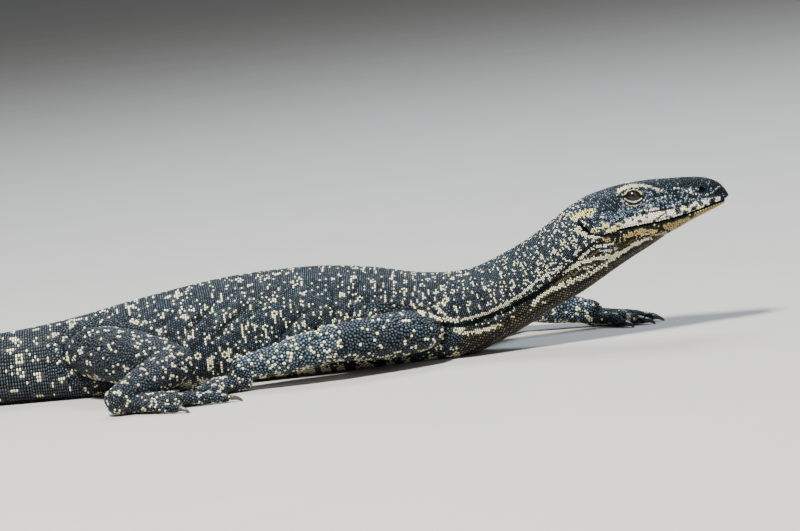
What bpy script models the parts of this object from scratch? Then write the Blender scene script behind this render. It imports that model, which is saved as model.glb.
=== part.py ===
"""A large monitor lizard resting on its belly with its head raised, at life size.

Metres, +Z up, +X towards the snout, +Y to the animal's left. The origin lies on the belly's flat at
floor level, under the middle of the trunk. The body is one run of rings from the tail's tip to the
snout, parted by thin gaps into tail, torso, neck and head. Each leg is cut to fit what it grows from.
"""

import math
from collections import namedtuple

import bmesh
import bpy
import numpy as np
from mathutils import Matrix, Vector

MM = 0.001

# Driving dimensions
GAP = 0.35 * MM             # kept between neighbouring pieces
TAIL_LENGTH = 810 * MM      # behind the last body station
TAIL_STATIONS = 12
TAIL_ROOT_X = -235 * MM
TAIL_SWING = 0.40           # largest heading of the tail's curve, radians
TAIL_WAVE = 600 * MM        # length of one full swing of the tail
TAIL_FLAT = 2 * MM          # how much of the root's underside is flattened
BODY_SIDES = 26             # points round the torso and neck
HEAD_SIDES = 34
TAIL_SIDES = 16
TORSO_RINGS = 24            # rings along each piece
NECK_RINGS = 14
HEAD_RINGS = 28
TAIL_RINGS = 9
LIMB_RINGS = 4

EYE_CENTRE = Vector((277.4, 15.1, 114.5)) * MM    # of the left eye
EYE_RADIUS = 7.0 * MM
LID_THICKNESS = 1.6 * MM
LID_STRETCH = 1.08          # lids are a little longer than they are high
EYE_OPENING = (13.4 * MM, 7.0 * MM)               # length and height between the lids
EYE_SLANT = math.radians(-3)
OPENING_POINTS = 14
OPENING_POINT = 1.35        # 1 gives an oval, more draws its two corners out to points
LID_RIM = 1.0 * MM          # radius of the rim along both lids
LID_RIM_SIDES = 6
NOSTRIL = Vector((333.0, 11.6, 113.6)) * MM
NOSTRIL_RADII = (3.1 * MM, 4.5 * MM, 1.9 * MM)
NOSTRIL_TURN = math.radians(25)
NOSTRIL_TILT = math.radians(20)
EAR = Vector((236.0, 29.5, 95.0)) * MM
EAR_RADII = (2.9 * MM, 5.5 * MM, 8.5 * MM)
EAR_TILT = math.radians(-38)

# A ring of the body: its top and lowest point in the side view, its half width, how far its middle is
# off to the side, the height of its widest point as a share, and the roundness of its upper and lower
# halves, where 2 is an ellipse and more is squarer. What comes out below 0 is flattened to the floor.
# Millimetres.
Station = namedtuple(
    "Station", "name top low half_width side widest upper_power lower_power"
)
BODY = [
    Station("tail root", (-235, 56), (-235, -2), 26, 0, 0.42, 2.0, 2.3),
    Station("vent", (-192, 60), (-192, -2.5), 31, 0, 0.40, 2.0, 2.5),
    Station("hips", (-152, 66.5), (-152, -3), 39, 1, 0.38, 2.0, 2.6),
    Station("loin", (-105, 74), (-105, -3), 47, 5, 0.36, 2.0, 2.7),
    Station("belly", (-45, 81), (-45, -3), 56, 11, 0.35, 2.0, 2.8),
    Station("ribs", (15, 82), (15, -3), 57, 12, 0.36, 2.0, 2.8),
    Station("front ribs", (62, 77.5), (62, -3), 50, 8, 0.40, 2.0, 2.7),
    Station("shoulders", (98, 70), (100, -2.5), 42, 4, 0.44, 2.1, 2.5),
    Station("breast", (126, 67.3), (136, -1), 36, 1, 0.50, 2.1, 2.1),
    Station("neck root", (147, 69.3), (165, 9), 32, -1, 0.54, 2.1, 1.9),
    Station("neck", (168, 76.8), (190, 20.5), 30, -2, 0.56, 2.1, 1.9),
    Station("mid neck", (189, 86.3), (212, 32), 29, -3, 0.56, 2.1, 1.9),
    Station("upper neck", (208, 97.5), (232, 41), 28.5, -3, 0.57, 2.2, 1.9),
    Station("nape", (225, 108.5), (249, 50.5), 29, -3, 0.58, 2.3, 1.9),
    Station("ear", (240, 116), (263, 58.5), 29.5, -3, 0.58, 2.4, 1.9),
    Station("jaw corner", (254, 120), (275, 65), 28, -3, 0.54, 2.5, 2.0),
    Station("cheek", (268, 122.8), (286, 70.5), 24.5, -3, 0.50, 2.6, 2.0),
    Station("eye", (281, 124), (294, 74.8), 21.5, -3, 0.46, 2.7, 2.1),
    Station("fore eye", (294, 124.6), (302, 79.4), 19, -3, 0.42, 2.6, 2.1),
    Station("muzzle", (307, 124.2), (311, 83.2), 16.8, -3, 0.40, 2.5, 2.2),
    Station("snout", (321, 123.8), (322, 88.2), 14.8, -3, 0.38, 2.4, 2.2),
    Station("nostrils", (335, 122.2), (334, 93), 13, -3, 0.38, 2.4, 2.2),
    Station("lip tip", (345.5, 118), (344, 97), 10.2, -3, 0.40, 2.3, 2.2),
    Station("snout end", (350.8, 112.6), (349.5, 100), 7.2, -3, 0.45, 2.2, 2.2),
    Station("snout tip", (353.6, 107.6), (353.2, 104.6), 2.4, -3, 0.5, 2.0, 2.0),
]

# Rounded swellings and hollows of the head and neck, on both sides: centre, reach along each axis, and
# height, in millimetres. A hollow has a negative height.
HEAD_FORMS = [
    ((279.5, 19, 121.8), (17, 6, 3.2), 2.6),    # brow
    ((303, 15, 119), (22, 4, 3.5), 0.9),        # canthus, from the eye to the nostril
    ((249, 27, 102), (13, 10, 12), 1.8),        # jaw muscle
    ((264, 25, 112.5), (9, 8, 5), -1.2),        # hollow behind the eye
    ((304, 17, 111.5), (12, 6, 4), -1.4),       # hollow before the eye
    ((337, 12, 113), (7, 5, 5), 0.9),           # swelling round the nostril
    ((299, 18, 97.3), (42, 8, 3.2), 1.1),       # upper lip
    ((294, 18, 84.5), (40, 8, 4), 0.9),         # lower jaw
]
# Line of the mouth in the side view, from past the snout to behind the head.
MOUTH = [
    (362, 103.6), (350, 102.9), (340, 100.6), (324, 96.6), (309, 93.8), (295, 91.9),
    (281, 91.3), (268, 90.5), (251, 88), (233, 79), (203, 62),
]
MOUTH_GAP = 0.4 * MM
LIP_GROOVE = 1.1 * MM       # half height of the groove where the lips meet, at the skin
LIP_DEPTH = 1.6 * MM        # depth of that groove
LEAST_JAW = 4 * MM          # half width of the jaw at the snout's end
MOUTH_CORNER = 250 * MM     # where the groove starts, and the length over which it opens
LIP_FADE = 22 * MM
# Fold of skin along the side of the neck, above the throat.
NECK_FOLD = [
    (107, 32.5), (132, 30.5), (152, 35.5), (172, 41.5), (192, 50),
    (208, 58.5), (224, 69.5), (234, 78.5), (244, 82.5),
]
NECK_FOLD_DEPTH = 3.6 * MM
NECK_FOLD_WIDTH = 5.5 * MM

# Where the run of rings is parted, as numbers of stations from the tail root.
PARTINGS = {"torso": (0.9, 8.35), "neck": (8.35, 12.6), "head": (12.6, 24)}
TAIL_PARTINGS = (0.0, 2.2, 4.9, 8.0, 12.0)    # in tail stations, from the tip's end at 12 to the root at 0

# Legs: joints in millimetres, and half width and half height at each joint.
Leg = namedtuple("Leg", "root bend end toe_heading palm_up")
FORE = {
    "right": Leg((102, -31, 26.5), (33, -67, 29.5), (-42, -72, 17), 181, True),
    "left": Leg((114, 33, 28.5), (176, 92, 25), (240, 80, 12.5), -6, False),
}
HIND = {
    "right": Leg((-160, -26, 37), (-93, -84, 28), (-138, -130, 13), 12, False),
    "left": Leg((-160, 28, 37), (-108, 90, 28), (-166, 128, 13), 24, False),
}
FORE_SIZES = ((21, 19), (15.5, 15), (11, 10))
HIND_SIZES = ((25, 24), (16.5, 16), (10.5, 9))
LIMB_SIDES = 12
ROUND_END = [(-0.92, 0.40), (-0.60, 0.80), (-0.25, 0.97)]    # shares of the size: back from the end, girth
# Digits: heading off the foot's own, length, how far along the palm it starts, and sideways start.
Digit = namedtuple("Digit", "heading length start side")
HAND = [
    Digit(42, 19, 0.55, 8), Digit(20, 25, 0.85, 6), Digit(2, 28, 0.95, 1.5),
    Digit(-15, 27, 0.88, -4), Digit(-40, 20, 0.55, -8),
]
FOOT = [
    Digit(34, 22, 0.62, 7), Digit(16, 31, 0.85, 5.5), Digit(4, 41, 0.95, 1.5),
    Digit(-8, 48, 0.90, -3.5), Digit(-38, 32, 0.35, -8),
]
PALM_LENGTH = {"hand": 25 * MM, "foot": 44 * MM}
WRIST_HALF_WIDTH = 9.5 * MM
PALM_SIZES = {"hand": (13.5 * MM, 6.5 * MM), "foot": (12.5 * MM, 7 * MM)}
TOE_RADIUS = (4.8 * MM, 2.8 * MM)      # at the root and at the claw
TOE_SIDES = 6
TOE_GIRTHS = (1.0, 1.02, 0.9)          # of the root's radius, along the toe
TOE_KNUCKLE = 1.25                     # of the claw end's radius, behind it
TOE_SHARES = (0.0, 0.3, 0.62, 0.85, 1.0)
HEEL_LIFT = 1.5 * MM
BALL_DROP = 0.8 * MM                   # how far the sole is pressed into the floor
CLAW_LENGTH = 10.5 * MM
CLAW_RADIUS = 2.15 * MM
CLAW_TIP = 0.22 * MM
CLAW_STEPS = 4
CLAW_SIDES = 5
CLAW_BEND = math.radians(62)

COLOURS = {
    "skin": ((0.035, 0.038, 0.042, 1), 0.55),
    "throat": ((0.30, 0.25, 0.13, 1), 0.6),
    "claw": ((0.05, 0.042, 0.035, 1), 0.35),
    "eye": ((0.03, 0.018, 0.012, 1), 0.05),
}


def clear_scene():
    for obj in list(bpy.data.objects):
        bpy.data.objects.remove(obj)


def material(name):
    """The material of that name, made once."""
    found = bpy.data.materials.get(name)
    if found:
        return found
    made = bpy.data.materials.new(name)
    made.use_nodes = True
    shader = made.node_tree.nodes["Principled BSDF"]
    colour, roughness = COLOURS[name]
    shader.inputs["Base Color"].default_value = colour
    shader.inputs["Roughness"].default_value = roughness
    shader.inputs["Metallic"].default_value = 0
    return made


def add_object(name, bm, finish="skin"):
    """An object in the scene from a bmesh, with its faces turned outwards."""
    bmesh.ops.recalc_face_normals(bm, faces=bm.faces)
    mesh = bpy.data.meshes.new(name)
    bm.to_mesh(mesh)
    bm.free()
    mesh.materials.append(material(finish))
    mesh.shade_smooth()
    mesh.set_sharp_from_angle(angle=math.radians(50))
    obj = bpy.data.objects.new(name, mesh)
    bpy.context.scene.collection.objects.link(obj)
    return obj


def skin_rings(rings):
    """A closed bmesh over rings of equal count, split the same way everywhere, with a point in each cap."""
    bm = bmesh.new()
    loops = [[bm.verts.new(p) for p in ring] for ring in rings]
    for near, far in zip(loops, loops[1:]):
        count = len(near)
        for i in range(count):
            j = (i + 1) % count
            bm.faces.new((near[i], near[j], far[j]))
            bm.faces.new((near[i], far[j], far[i]))
    for loop in (loops[0], loops[-1]):
        middle = bm.verts.new(sum((v.co for v in loop), Vector()) / len(loop))
        for i, v in enumerate(loop):
            bm.faces.new((v, loop[(i + 1) % len(loop)], middle))
    return bm


def smooth_value(values, t):
    """A smooth curve through values, at t counted in values."""
    last = len(values) - 1
    i = min(max(int(math.floor(t)), 0), last - 1)
    f = t - i
    before, start = values[max(i - 1, 0)], values[i]
    end, after = values[i + 1], values[min(i + 2, last)]
    slope_in, slope_out = (end - before) / 2, (after - start) / 2
    return (
        start * (2 * f**3 - 3 * f**2 + 1)
        + slope_in * (f**3 - 2 * f**2 + f)
        + end * (3 * f**2 - 2 * f**3)
        + slope_out * (f**3 - f**2)
    )


def tail_rows():
    """Rows of the tail's stations from its tip to just before the root, as body_rows gives them."""
    steps = 200
    step = TAIL_LENGTH / steps
    place = np.array([TAIL_ROOT_X, 0.0])
    path = [place]
    for k in range(steps):
        heading = TAIL_SWING * math.sin(2 * math.pi * (k + 0.5) * step / TAIL_WAVE)
        place = place + step * np.array([-math.cos(heading), math.sin(heading)])
        path.append(place)
    rows = []
    for n in range(TAIL_STATIONS, 0, -1):
        share = n / TAIL_STATIONS
        x, y = path[round(share * steps)]
        height = (56 * (1 - share) ** 1.15 + 5.0 * share) * MM
        half_width = (26 * (1 - share) ** 1.55 + 1.6 * share) * MM
        rows.append((x, y, 0, height, -TAIL_FLAT * (1 - share) ** 0.5, half_width, 0.42, 1.9, 2.2))
    return rows


def body_rows():
    """Middle x and y, lean, top and low height, half width and section shape of every station."""
    rows = tail_rows()
    for s in BODY:
        middle = (s.top[0] + s.low[0]) / 2 * MM
        lean = (s.top[0] - s.low[0]) / 2 * MM
        rows.append((
            middle, s.side * MM, lean, s.top[1] * MM, s.low[1] * MM, s.half_width * MM,
            s.widest, s.upper_power, s.lower_power,
        ))
    return np.array(rows)


ROWS = body_rows()


def bump(point, centre, reach):
    """1 at a centre, falling smoothly to 0 past its reach."""
    away = sum(((p - c) / r) ** 2 for p, c, r in zip(point, centre, reach))
    return math.exp(-away)


def height_on(line, x):
    """Height of a side-view line at x, both in metres."""
    xs = [p[0] * MM for p in line]
    zs = [p[1] * MM for p in line]
    if xs[0] > xs[-1]:
        xs, zs = xs[::-1], zs[::-1]
    return float(np.interp(x, xs, zs))


def shaped(point, middle, outwards):
    """A ring's point with the head's forms and the neck's fold added to it."""
    x, y, z = point
    aside = abs(y - middle)
    push = 0.0
    for centre, reach, height in HEAD_FORMS:
        push += height * MM * bump((x / MM, aside / MM, z / MM), centre, reach)
    if x > NECK_FOLD[0][0] * MM and x < NECK_FOLD[-1][0] * MM:
        along = (x / MM - NECK_FOLD[0][0]) / (NECK_FOLD[-1][0] - NECK_FOLD[0][0])
        fade = math.sin(math.pi * min(max(along, 0.0), 1.0)) ** 0.5
        below = (z - height_on(NECK_FOLD, x) + NECK_FOLD_WIDTH) / NECK_FOLD_WIDTH
        lateral = min(aside / (14 * MM), 1.0)
        push -= NECK_FOLD_DEPTH * fade * lateral * math.exp(-below * below)
    return np.array(point) + push * np.array(outwards)


def body_ring(t, sides, grow=0.0):
    """The ring at station t of the whole run, counted from the tail's tip, made larger by grow."""
    x, y, lean, top, low, half_width, widest, upper, lower = (
        smooth_value(ROWS[:, c], t) for c in range(ROWS.shape[1])
    )
    step = 0.05
    ahead = [smooth_value(ROWS[:, c], min(t + step, len(ROWS) - 1)) for c in (0, 1)]
    behind = [smooth_value(ROWS[:, c], max(t - step, 0)) for c in (0, 1)]
    heading = np.array([ahead[0] - behind[0], ahead[1] - behind[1], 0.0])
    heading /= np.linalg.norm(heading)
    left = np.array([-heading[1], heading[0], 0.0])
    top, low, half_width = top + grow, low - grow, half_width + grow
    split = low + (top - low) * widest
    ring = []
    for k in range(sides):
        angle = 2 * math.pi * k / sides
        side, up = math.sin(angle), math.cos(angle)
        power = 2 / (upper if up >= 0 else lower)
        across = math.copysign(abs(side) ** power, side) * half_width
        rise = abs(up) ** power
        z = split + (top - split) * rise if up >= 0 else split - (split - low) * rise
        share = (z - low) / (top - low)
        point = np.array([x, y, 0.0]) + left * across + heading * lean * (2 * share - 1)
        point[2] = z
        outwards = left * side + np.array([0.0, 0.0, up])
        point = shaped(point, y, outwards)
        point[2] = max(point[2], -grow)
        ring.append(Vector(point))
    return ring


def parted(t, direction):
    """t moved by half a gap along the run."""
    before, after = ROWS[int(t)], ROWS[min(int(t) + 1, len(ROWS) - 1)]
    span = np.linalg.norm((after - before)[:2]) + abs(after[3] - before[3]) * 0.3
    return t + direction * GAP / 2 / span


def body_run(start, end, sides, rings, grow=0.0):
    """The rings of the body between two stations."""
    return [body_ring(start + (end - start) * k / rings, sides, grow) for k in range(rings + 1)]


def cut_flat(bm, place, normal):
    """Takes off what lies past a plane, and closes the cut."""
    whole = bm.verts[:] + bm.edges[:] + bm.faces[:]
    cut = bmesh.ops.bisect_plane(bm, geom=whole, plane_co=place, plane_no=normal, clear_outer=True)
    rim = [e for e in cut["geom_cut"] if isinstance(e, bmesh.types.BMEdge)]
    bmesh.ops.contextual_create(bm, geom=rim)
    return bm


def boolean(obj, others, operation):
    """obj joined with or cut by others, which are removed."""
    if len(others) == 0:
        return obj
    group = bpy.data.collections.new(obj.name + "_tools")
    bpy.context.scene.collection.children.link(group)
    for other in others:
        bpy.context.scene.collection.objects.unlink(other)
        group.objects.link(other)
    modifier = obj.modifiers.new("boolean", "BOOLEAN")
    modifier.operation = operation
    modifier.operand_type = "COLLECTION"
    modifier.collection = group
    modifier.solver = "EXACT"
    graph = bpy.context.evaluated_depsgraph_get()
    mesh = bpy.data.meshes.new_from_object(obj.evaluated_get(graph))
    obj.modifiers.clear()
    obj.data = mesh
    for other in others:
        bpy.data.objects.remove(other)
    bpy.data.collections.remove(group)
    return obj


def closed_surfaces(obj):
    """The separate closed surfaces of a mesh, largest first, each as a list of face indices."""
    bm = bmesh.new()
    bm.from_mesh(obj.data)
    bm.faces.ensure_lookup_table()
    seen, found = set(), []
    for face in bm.faces:
        if face.index in seen:
            continue
        seen.add(face.index)
        stack, members = [face], []
        while stack:
            current = stack.pop()
            members.append(current.index)
            for edge in current.edges:
                for other in edge.link_faces:
                    if other.index not in seen:
                        seen.add(other.index)
                        stack.append(other)
        found.append(members)
    areas = [sum(bm.faces[i].calc_area() for i in members) for members in found]
    bm.free()
    return [members for _, members in sorted(zip(areas, found), reverse=True)]


def keep_surface(obj, members):
    """Leaves only these faces in obj."""
    bm = bmesh.new()
    bm.from_mesh(obj.data)
    keep = set(members)
    spare = [f for f in bm.faces if f.index not in keep]
    bmesh.ops.delete(bm, geom=spare, context="FACES")
    bm.to_mesh(obj.data)
    bm.free()


def keep_largest(obj):
    keep_surface(obj, closed_surfaces(obj)[0])
    return obj


def build_trunk():
    """Tail lengths, torso and neck."""
    offset = TAIL_STATIONS
    bounds = [offset - n for n in TAIL_PARTINGS]
    bounds[0] = offset + PARTINGS["torso"][0]
    for number, (root, tip) in enumerate(zip(bounds, bounds[1:]), start=1):
        start = parted(root, -1)
        end = max(tip, 0) if number == len(bounds) - 1 else parted(tip, 1)
        add_object(f"tail_{number}", skin_rings(body_run(start, end, TAIL_SIDES, TAIL_RINGS)))
    for name, rings in (("torso", TORSO_RINGS), ("neck", NECK_RINGS)):
        start, end = PARTINGS[name]
        rings = body_run(parted(start + offset, 1), parted(end + offset, -1), BODY_SIDES, rings)
        add_object(name, skin_rings(rings))


def ellipsoid(name, centre, radii, turn=None, segments=16, rings=10):
    """A closed ellipsoid, turned by a matrix about its centre."""
    bm = bmesh.new()
    bmesh.ops.create_uvsphere(bm, u_segments=segments, v_segments=rings, radius=1)
    place = Matrix.Translation(centre) @ (turn or Matrix.Identity(4)) @ Matrix.Diagonal((*radii, 1))
    bmesh.ops.transform(bm, matrix=place, verts=bm.verts)
    return add_object(name, bm)


def mirrored(centre, side):
    """A place on the left of the head, moved to the given side."""
    middle = BODY[-1].side * MM
    return Vector((centre.x, middle + side * centre.y, centre.z))


def opening_outline(spread=0.0):
    """The pointed oval between the lids in the side view, about the eye's centre, made larger by spread."""
    length, height = EYE_OPENING
    points = []
    for k in range(OPENING_POINTS):
        angle = 2 * math.pi * k / OPENING_POINTS
        x = (length / 2 + spread) * math.cos(angle)
        z = (height / 2 + spread) * math.copysign(abs(math.sin(angle)) ** OPENING_POINT, math.sin(angle))
        points.append((
            x * math.cos(EYE_SLANT) - z * math.sin(EYE_SLANT),
            x * math.sin(EYE_SLANT) + z * math.cos(EYE_SLANT),
        ))
    return points


def lid_opening(centre, side):
    """A cutter through the lids, drawn out sideways."""
    rings = [
        [centre + Vector((x, side * out, z)) for x, z in opening_outline()]
        for out in (2 * MM, 14 * MM)
    ]
    return add_object("lid_opening", skin_rings(rings))


def lid_rim(centre, side, reach):
    """The raised rim of both lids: a closed tube that lies on a sphere of this reach about the eye."""
    path = []
    for x, z in opening_outline(LID_RIM * 0.8):
        away = math.sqrt(max(reach**2 - x**2 - z**2, 0.0))
        path.append(centre + Vector((x, side * away, z)))
    bm = bmesh.new()
    loops = []
    count = len(path)
    for i, place in enumerate(path):
        along = (path[(i + 1) % count] - path[i - 1]).normalized()
        outwards = (place - centre).normalized()
        across = along.cross(outwards).normalized()
        loops.append([
            bm.verts.new(place + LID_RIM * (outwards * math.cos(a) + across * math.sin(a)))
            for a in (2 * math.pi * (k + 0.5) / LID_RIM_SIDES for k in range(LID_RIM_SIDES))
        ])
    for i, near in enumerate(loops):
        far = loops[(i + 1) % count]
        for k in range(LID_RIM_SIDES):
            j = (k + 1) % LID_RIM_SIDES
            bm.faces.new((near[k], near[j], far[j]))
            bm.faces.new((near[k], far[j], far[k]))
    return add_object("lid_rim", bm)


def jaw_edges():
    """Where the mouth's line meets the skin of the head: places along x, and how far out each is."""
    middle = BODY[-1].side * MM
    found = []
    first, last = (t + TAIL_STATIONS for t in PARTINGS["head"])
    samples = 60
    for k in range(samples + 1):
        ring = body_ring(first - 1 + (last - first + 1) * k / samples, HEAD_SIDES)
        for upper, lower in zip(ring[: HEAD_SIDES // 2], ring[1:]):
            above = upper.z - height_on(MOUTH, upper.x)
            below = lower.z - height_on(MOUTH, lower.x)
            if above >= 0 > below:
                place = upper.lerp(lower, above / (above - below))
                found.append((place.x, abs(place.y - middle)))
    return zip(*sorted(found))


def mouth_cutter():
    """The gap between the jaws, opening into a groove between the lips."""
    middle = BODY[-1].side * MM
    wide = 40 * MM
    thin = MOUTH_GAP / 2
    back, front = MOUTH[-1][0] * MM, MOUTH[0][0] * MM
    steps = 22
    edge_places, edge_widths = (list(values) for values in jaw_edges())
    rings = []
    for k in range(steps + 1):
        x = front + (back - front) * k / steps
        z = height_on(MOUTH, x)
        half = max(float(np.interp(x, edge_places, edge_widths)), LEAST_JAW)
        fade = min(max((x - MOUTH_CORNER) / LIP_FADE, 0.0), 1.0)
        groove = thin + (LIP_GROOVE - thin) * fade
        inner = half - LIP_DEPTH
        left = [(inner, thin), (half, groove), (wide, groove)]
        profile = [(-y, dz) for y, dz in reversed(left)] + left
        outline = [(y, -dz) for y, dz in profile] + [(y, dz) for y, dz in reversed(profile)]
        rings.append([Vector((x, middle + y, z + dz)) for y, dz in outline])
    return add_object("mouth_cutter", skin_rings(rings))


def build_head():
    """Head and lower jaw, with lids, nostrils, ears and the line of the mouth, and the eyes."""
    offset = TAIL_STATIONS
    start, end = PARTINGS["head"]
    rings = body_run(parted(start + offset, 1), end + offset, HEAD_SIDES, HEAD_RINGS)
    head = add_object("head", skin_rings(rings))
    lids, cutters = [], [mouth_cutter()]
    for side in (1, -1):
        eye = mirrored(EYE_CENTRE, side)
        lid = EYE_RADIUS + GAP + LID_THICKNESS
        socket = EYE_RADIUS + GAP
        lids.append(ellipsoid("lid", eye, (lid * LID_STRETCH, lid, lid)))
        lids.append(lid_rim(eye, side, lid - LID_RIM * 0.3))
        cutters.append(ellipsoid("socket", eye, (socket,) * 3))
        cutters.append(lid_opening(eye, side))
        slope = Matrix.Rotation(side * NOSTRIL_TURN, 4, "Z") @ Matrix.Rotation(NOSTRIL_TILT, 4, "Y")
        cutters.append(ellipsoid("nostril", mirrored(NOSTRIL, side), NOSTRIL_RADII, slope, 12, 8))
        tilt = Matrix.Rotation(EAR_TILT, 4, "Y")
        cutters.append(ellipsoid("ear", mirrored(EAR, side), EAR_RADII, tilt, 14, 8))
    boolean(head, lids, "UNION")
    boolean(head, cutters, "DIFFERENCE")
    upper, lower = closed_surfaces(head)[:2]
    jaw = head.copy()
    jaw.data = head.data.copy()
    jaw.name = "lower_jaw"
    bpy.context.scene.collection.objects.link(jaw)
    keep_surface(head, upper)
    keep_surface(jaw, lower)
    if sum(v.co.z for v in head.data.vertices) / len(head.data.vertices) < (
        sum(v.co.z for v in jaw.data.vertices) / len(jaw.data.vertices)
    ):
        head.data, jaw.data = jaw.data, head.data
    jaw.data.materials[0] = material("throat")
    for side, word in ((1, "left"), (-1, "right")):
        bm = bmesh.new()
        bmesh.ops.create_uvsphere(bm, u_segments=16, v_segments=11, radius=EYE_RADIUS)
        quarter = Matrix.Rotation(math.radians(90), 4, "X")
        place = Matrix.Translation(mirrored(EYE_CENTRE, side)) @ quarter
        bmesh.ops.transform(bm, matrix=place, verts=bm.verts)
        add_object(f"eye_{word}", bm, "eye")


def limb_rings(start, end, size_start, size_end, grow=0.0, swell=0.12):
    """Rings of a fleshy limb with rounded ends. Each size is a half width and a half height."""
    start, end = Vector(start), Vector(end)
    along = (end - start).normalized()
    side = along.cross(Vector((0, 0, 1))).normalized()
    up = side.cross(along)
    rows = [(start + along * size_start[1] * back, 0.0, scale) for back, scale in ROUND_END]
    for k in range(LIMB_RINGS + 1):
        share = k / LIMB_RINGS
        rows.append((start.lerp(end, share), share, 1 + swell * math.sin(math.pi * share) ** 2))
    rows += [(end - along * size_end[1] * back, 1.0, scale) for back, scale in reversed(ROUND_END)]
    made = []
    for middle, share, scale in rows:
        half_width = (size_start[0] * (1 - share) + size_end[0] * share) * scale + grow
        half_height = (size_start[1] * (1 - share) + size_end[1] * share) * scale + grow
        ring = []
        for k in range(LIMB_SIDES):
            angle = 2 * math.pi * k / LIMB_SIDES
            point = middle + side * math.cos(angle) * half_width + up * math.sin(angle) * half_height
            point.z = max(point.z, -grow)
            ring.append(point)
        made.append(ring)
    return made


def digit_path(root, heading, length, palm_up):
    """Points along a toe, from its root to the claw, with the level where it rests."""
    level = TOE_RADIUS[1] + 0.7 * MM
    heights = (root.z, root.z + 0.6 * MM, level + 1.2 * MM, level, level)
    if palm_up:
        heights = (root.z, root.z - 0.5 * MM, level + 0.3 * MM, level, level + 0.3 * MM)
    heading_vector = Vector((math.cos(heading), math.sin(heading), 0))
    return [
        Vector((root.x, root.y, 0)) + heading_vector * length * s + Vector((0, 0, z))
        for s, z in zip(TOE_SHARES, heights)
    ]


def tube(points, radii, sides, flat=1.0):
    """Rings round a line of points. flat makes them lower than they are wide."""
    rings = []
    for i, (point, radius) in enumerate(zip(points, radii)):
        before, after = points[max(i - 1, 0)], points[min(i + 1, len(points) - 1)]
        along = (after - before).normalized()
        side = along.cross(Vector((0, 0, 1))).normalized()
        up = side.cross(along)
        ring = []
        for k in range(sides):
            angle = 2 * math.pi * (k + 0.5) / sides
            ring.append(point + side * math.cos(angle) * radius + up * math.sin(angle) * radius * flat)
        rings.append(ring)
    return rings


def on_floor(rings):
    for ring in rings:
        for point in ring:
            point.z = max(point.z, 0.0)
    return rings


def claw_rings(tip, along, palm_up):
    """A curved, pointed claw that starts a gap past the toe's flat end."""
    turn = 1 if palm_up else -1
    side = along.cross(Vector((0, 0, 1))).normalized()
    point = tip + along * GAP
    points, radii = [point.copy()], [CLAW_RADIUS]
    for k in range(CLAW_STEPS):
        share = (k + 0.5) / CLAW_STEPS
        bend = Matrix.Rotation(turn * CLAW_BEND * share**1.3, 3, side)
        point = point + bend @ along * CLAW_LENGTH / CLAW_STEPS
        points.append(point.copy())
        radii.append(CLAW_RADIUS * (1 - (k + 1) / CLAW_STEPS) ** 0.75 + CLAW_TIP)
    return tube(points, radii, CLAW_SIDES, 1.15)


def build_extremity(kind, word, leg, shin_cutter):
    """A hand or foot with its digits joined to it, cut clear of the lower leg, and its claws."""
    front = "front" if kind == "hand" else "hind"
    palm_up = leg.palm_up
    heading = math.radians(leg.toe_heading)
    forward = Vector((math.cos(heading), math.sin(heading), 0))
    left = Vector((-forward.y, forward.x, 0))
    mirror = 1 if word == "right" else -1
    if palm_up:
        mirror = -mirror
    length = PALM_LENGTH[kind]
    half_width, half_height = PALM_SIZES[kind]
    ankle = Vector(leg.end) * MM
    heel = Vector((ankle.x, ankle.y, half_height + HEEL_LIFT))
    ball = Vector((ankle.x, ankle.y, half_height - BALL_DROP)) + forward * length
    wrist_size = (WRIST_HALF_WIDTH, half_height + 1 * MM)
    rings = limb_rings(heel, ball, wrist_size, (half_width, half_height), swell=0.05)
    foot = add_object(f"{kind}_{word}", skin_rings(on_floor(rings)))
    toes = []
    for number, digit in enumerate(HAND if kind == "hand" else FOOT, start=1):
        root = heel.lerp(ball, digit.start) + left * digit.side * MM * mirror
        root.z = TOE_RADIUS[0] + 1.2 * MM
        toe_heading = heading + math.radians(digit.heading) * mirror
        reach = digit.length * MM + (1 - digit.start) * 6 * MM
        points = digit_path(root, toe_heading, reach, palm_up)
        big, small = TOE_RADIUS
        radii = [big * girth for girth in TOE_GIRTHS] + [small * TOE_KNUCKLE, small]
        toes.append(add_object("toe", skin_rings(on_floor(tube(points, radii, TOE_SIDES)))))
        along = (points[-1] - points[-2]).normalized()
        claw = skin_rings(on_floor(claw_rings(points[-1], along, palm_up)))
        add_object(f"claw_{front}_{word}_{number}", claw, "claw")
    boolean(foot, toes, "UNION")
    keep_largest(foot)
    boolean(foot, [shin_cutter], "DIFFERENCE")
    keep_largest(foot)


def trunk_cutter():
    """The torso a gap larger, to cut a limb's root by."""
    start, end = (t + TAIL_STATIONS for t in PARTINGS["torso"])
    margin = 1.5
    rings = body_run(start - margin, end + margin, BODY_SIDES, round(1.6 * TORSO_RINGS), GAP)
    return add_object("trunk_cutter", skin_rings(rings))


def build_leg(names, kind, word, leg, sizes):
    """Upper leg, lower leg and foot, parted across the knee and cut to sit a gap off the torso."""
    root, bend, end = (Vector(p) * MM for p in (leg.root, leg.bend, leg.end))
    root_size, bend_size, end_size = (tuple(v * MM for v in s) for s in sizes)
    across = ((bend - root).normalized() + (end - bend).normalized()).normalized()
    half_gap = across * GAP / 2
    flesh = skin_rings(limb_rings(root, bend, root_size, bend_size))
    upper = add_object(f"{names[0]}_{word}", cut_flat(flesh, bend - half_gap, across))
    shin = limb_rings(bend, end, bend_size, end_size, swell=0.10)
    lower = add_object(f"{names[1]}_{word}", cut_flat(skin_rings(shin), bend + half_gap, -across))
    for piece in (upper, lower):
        boolean(piece, [trunk_cutter()], "DIFFERENCE")
        keep_largest(piece)
    ankle = limb_rings(bend, end, bend_size, end_size, GAP, swell=0.10)
    shin_cutter = add_object("shin_cutter", skin_rings(ankle))
    build_extremity(kind, word, leg, shin_cutter)


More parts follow.
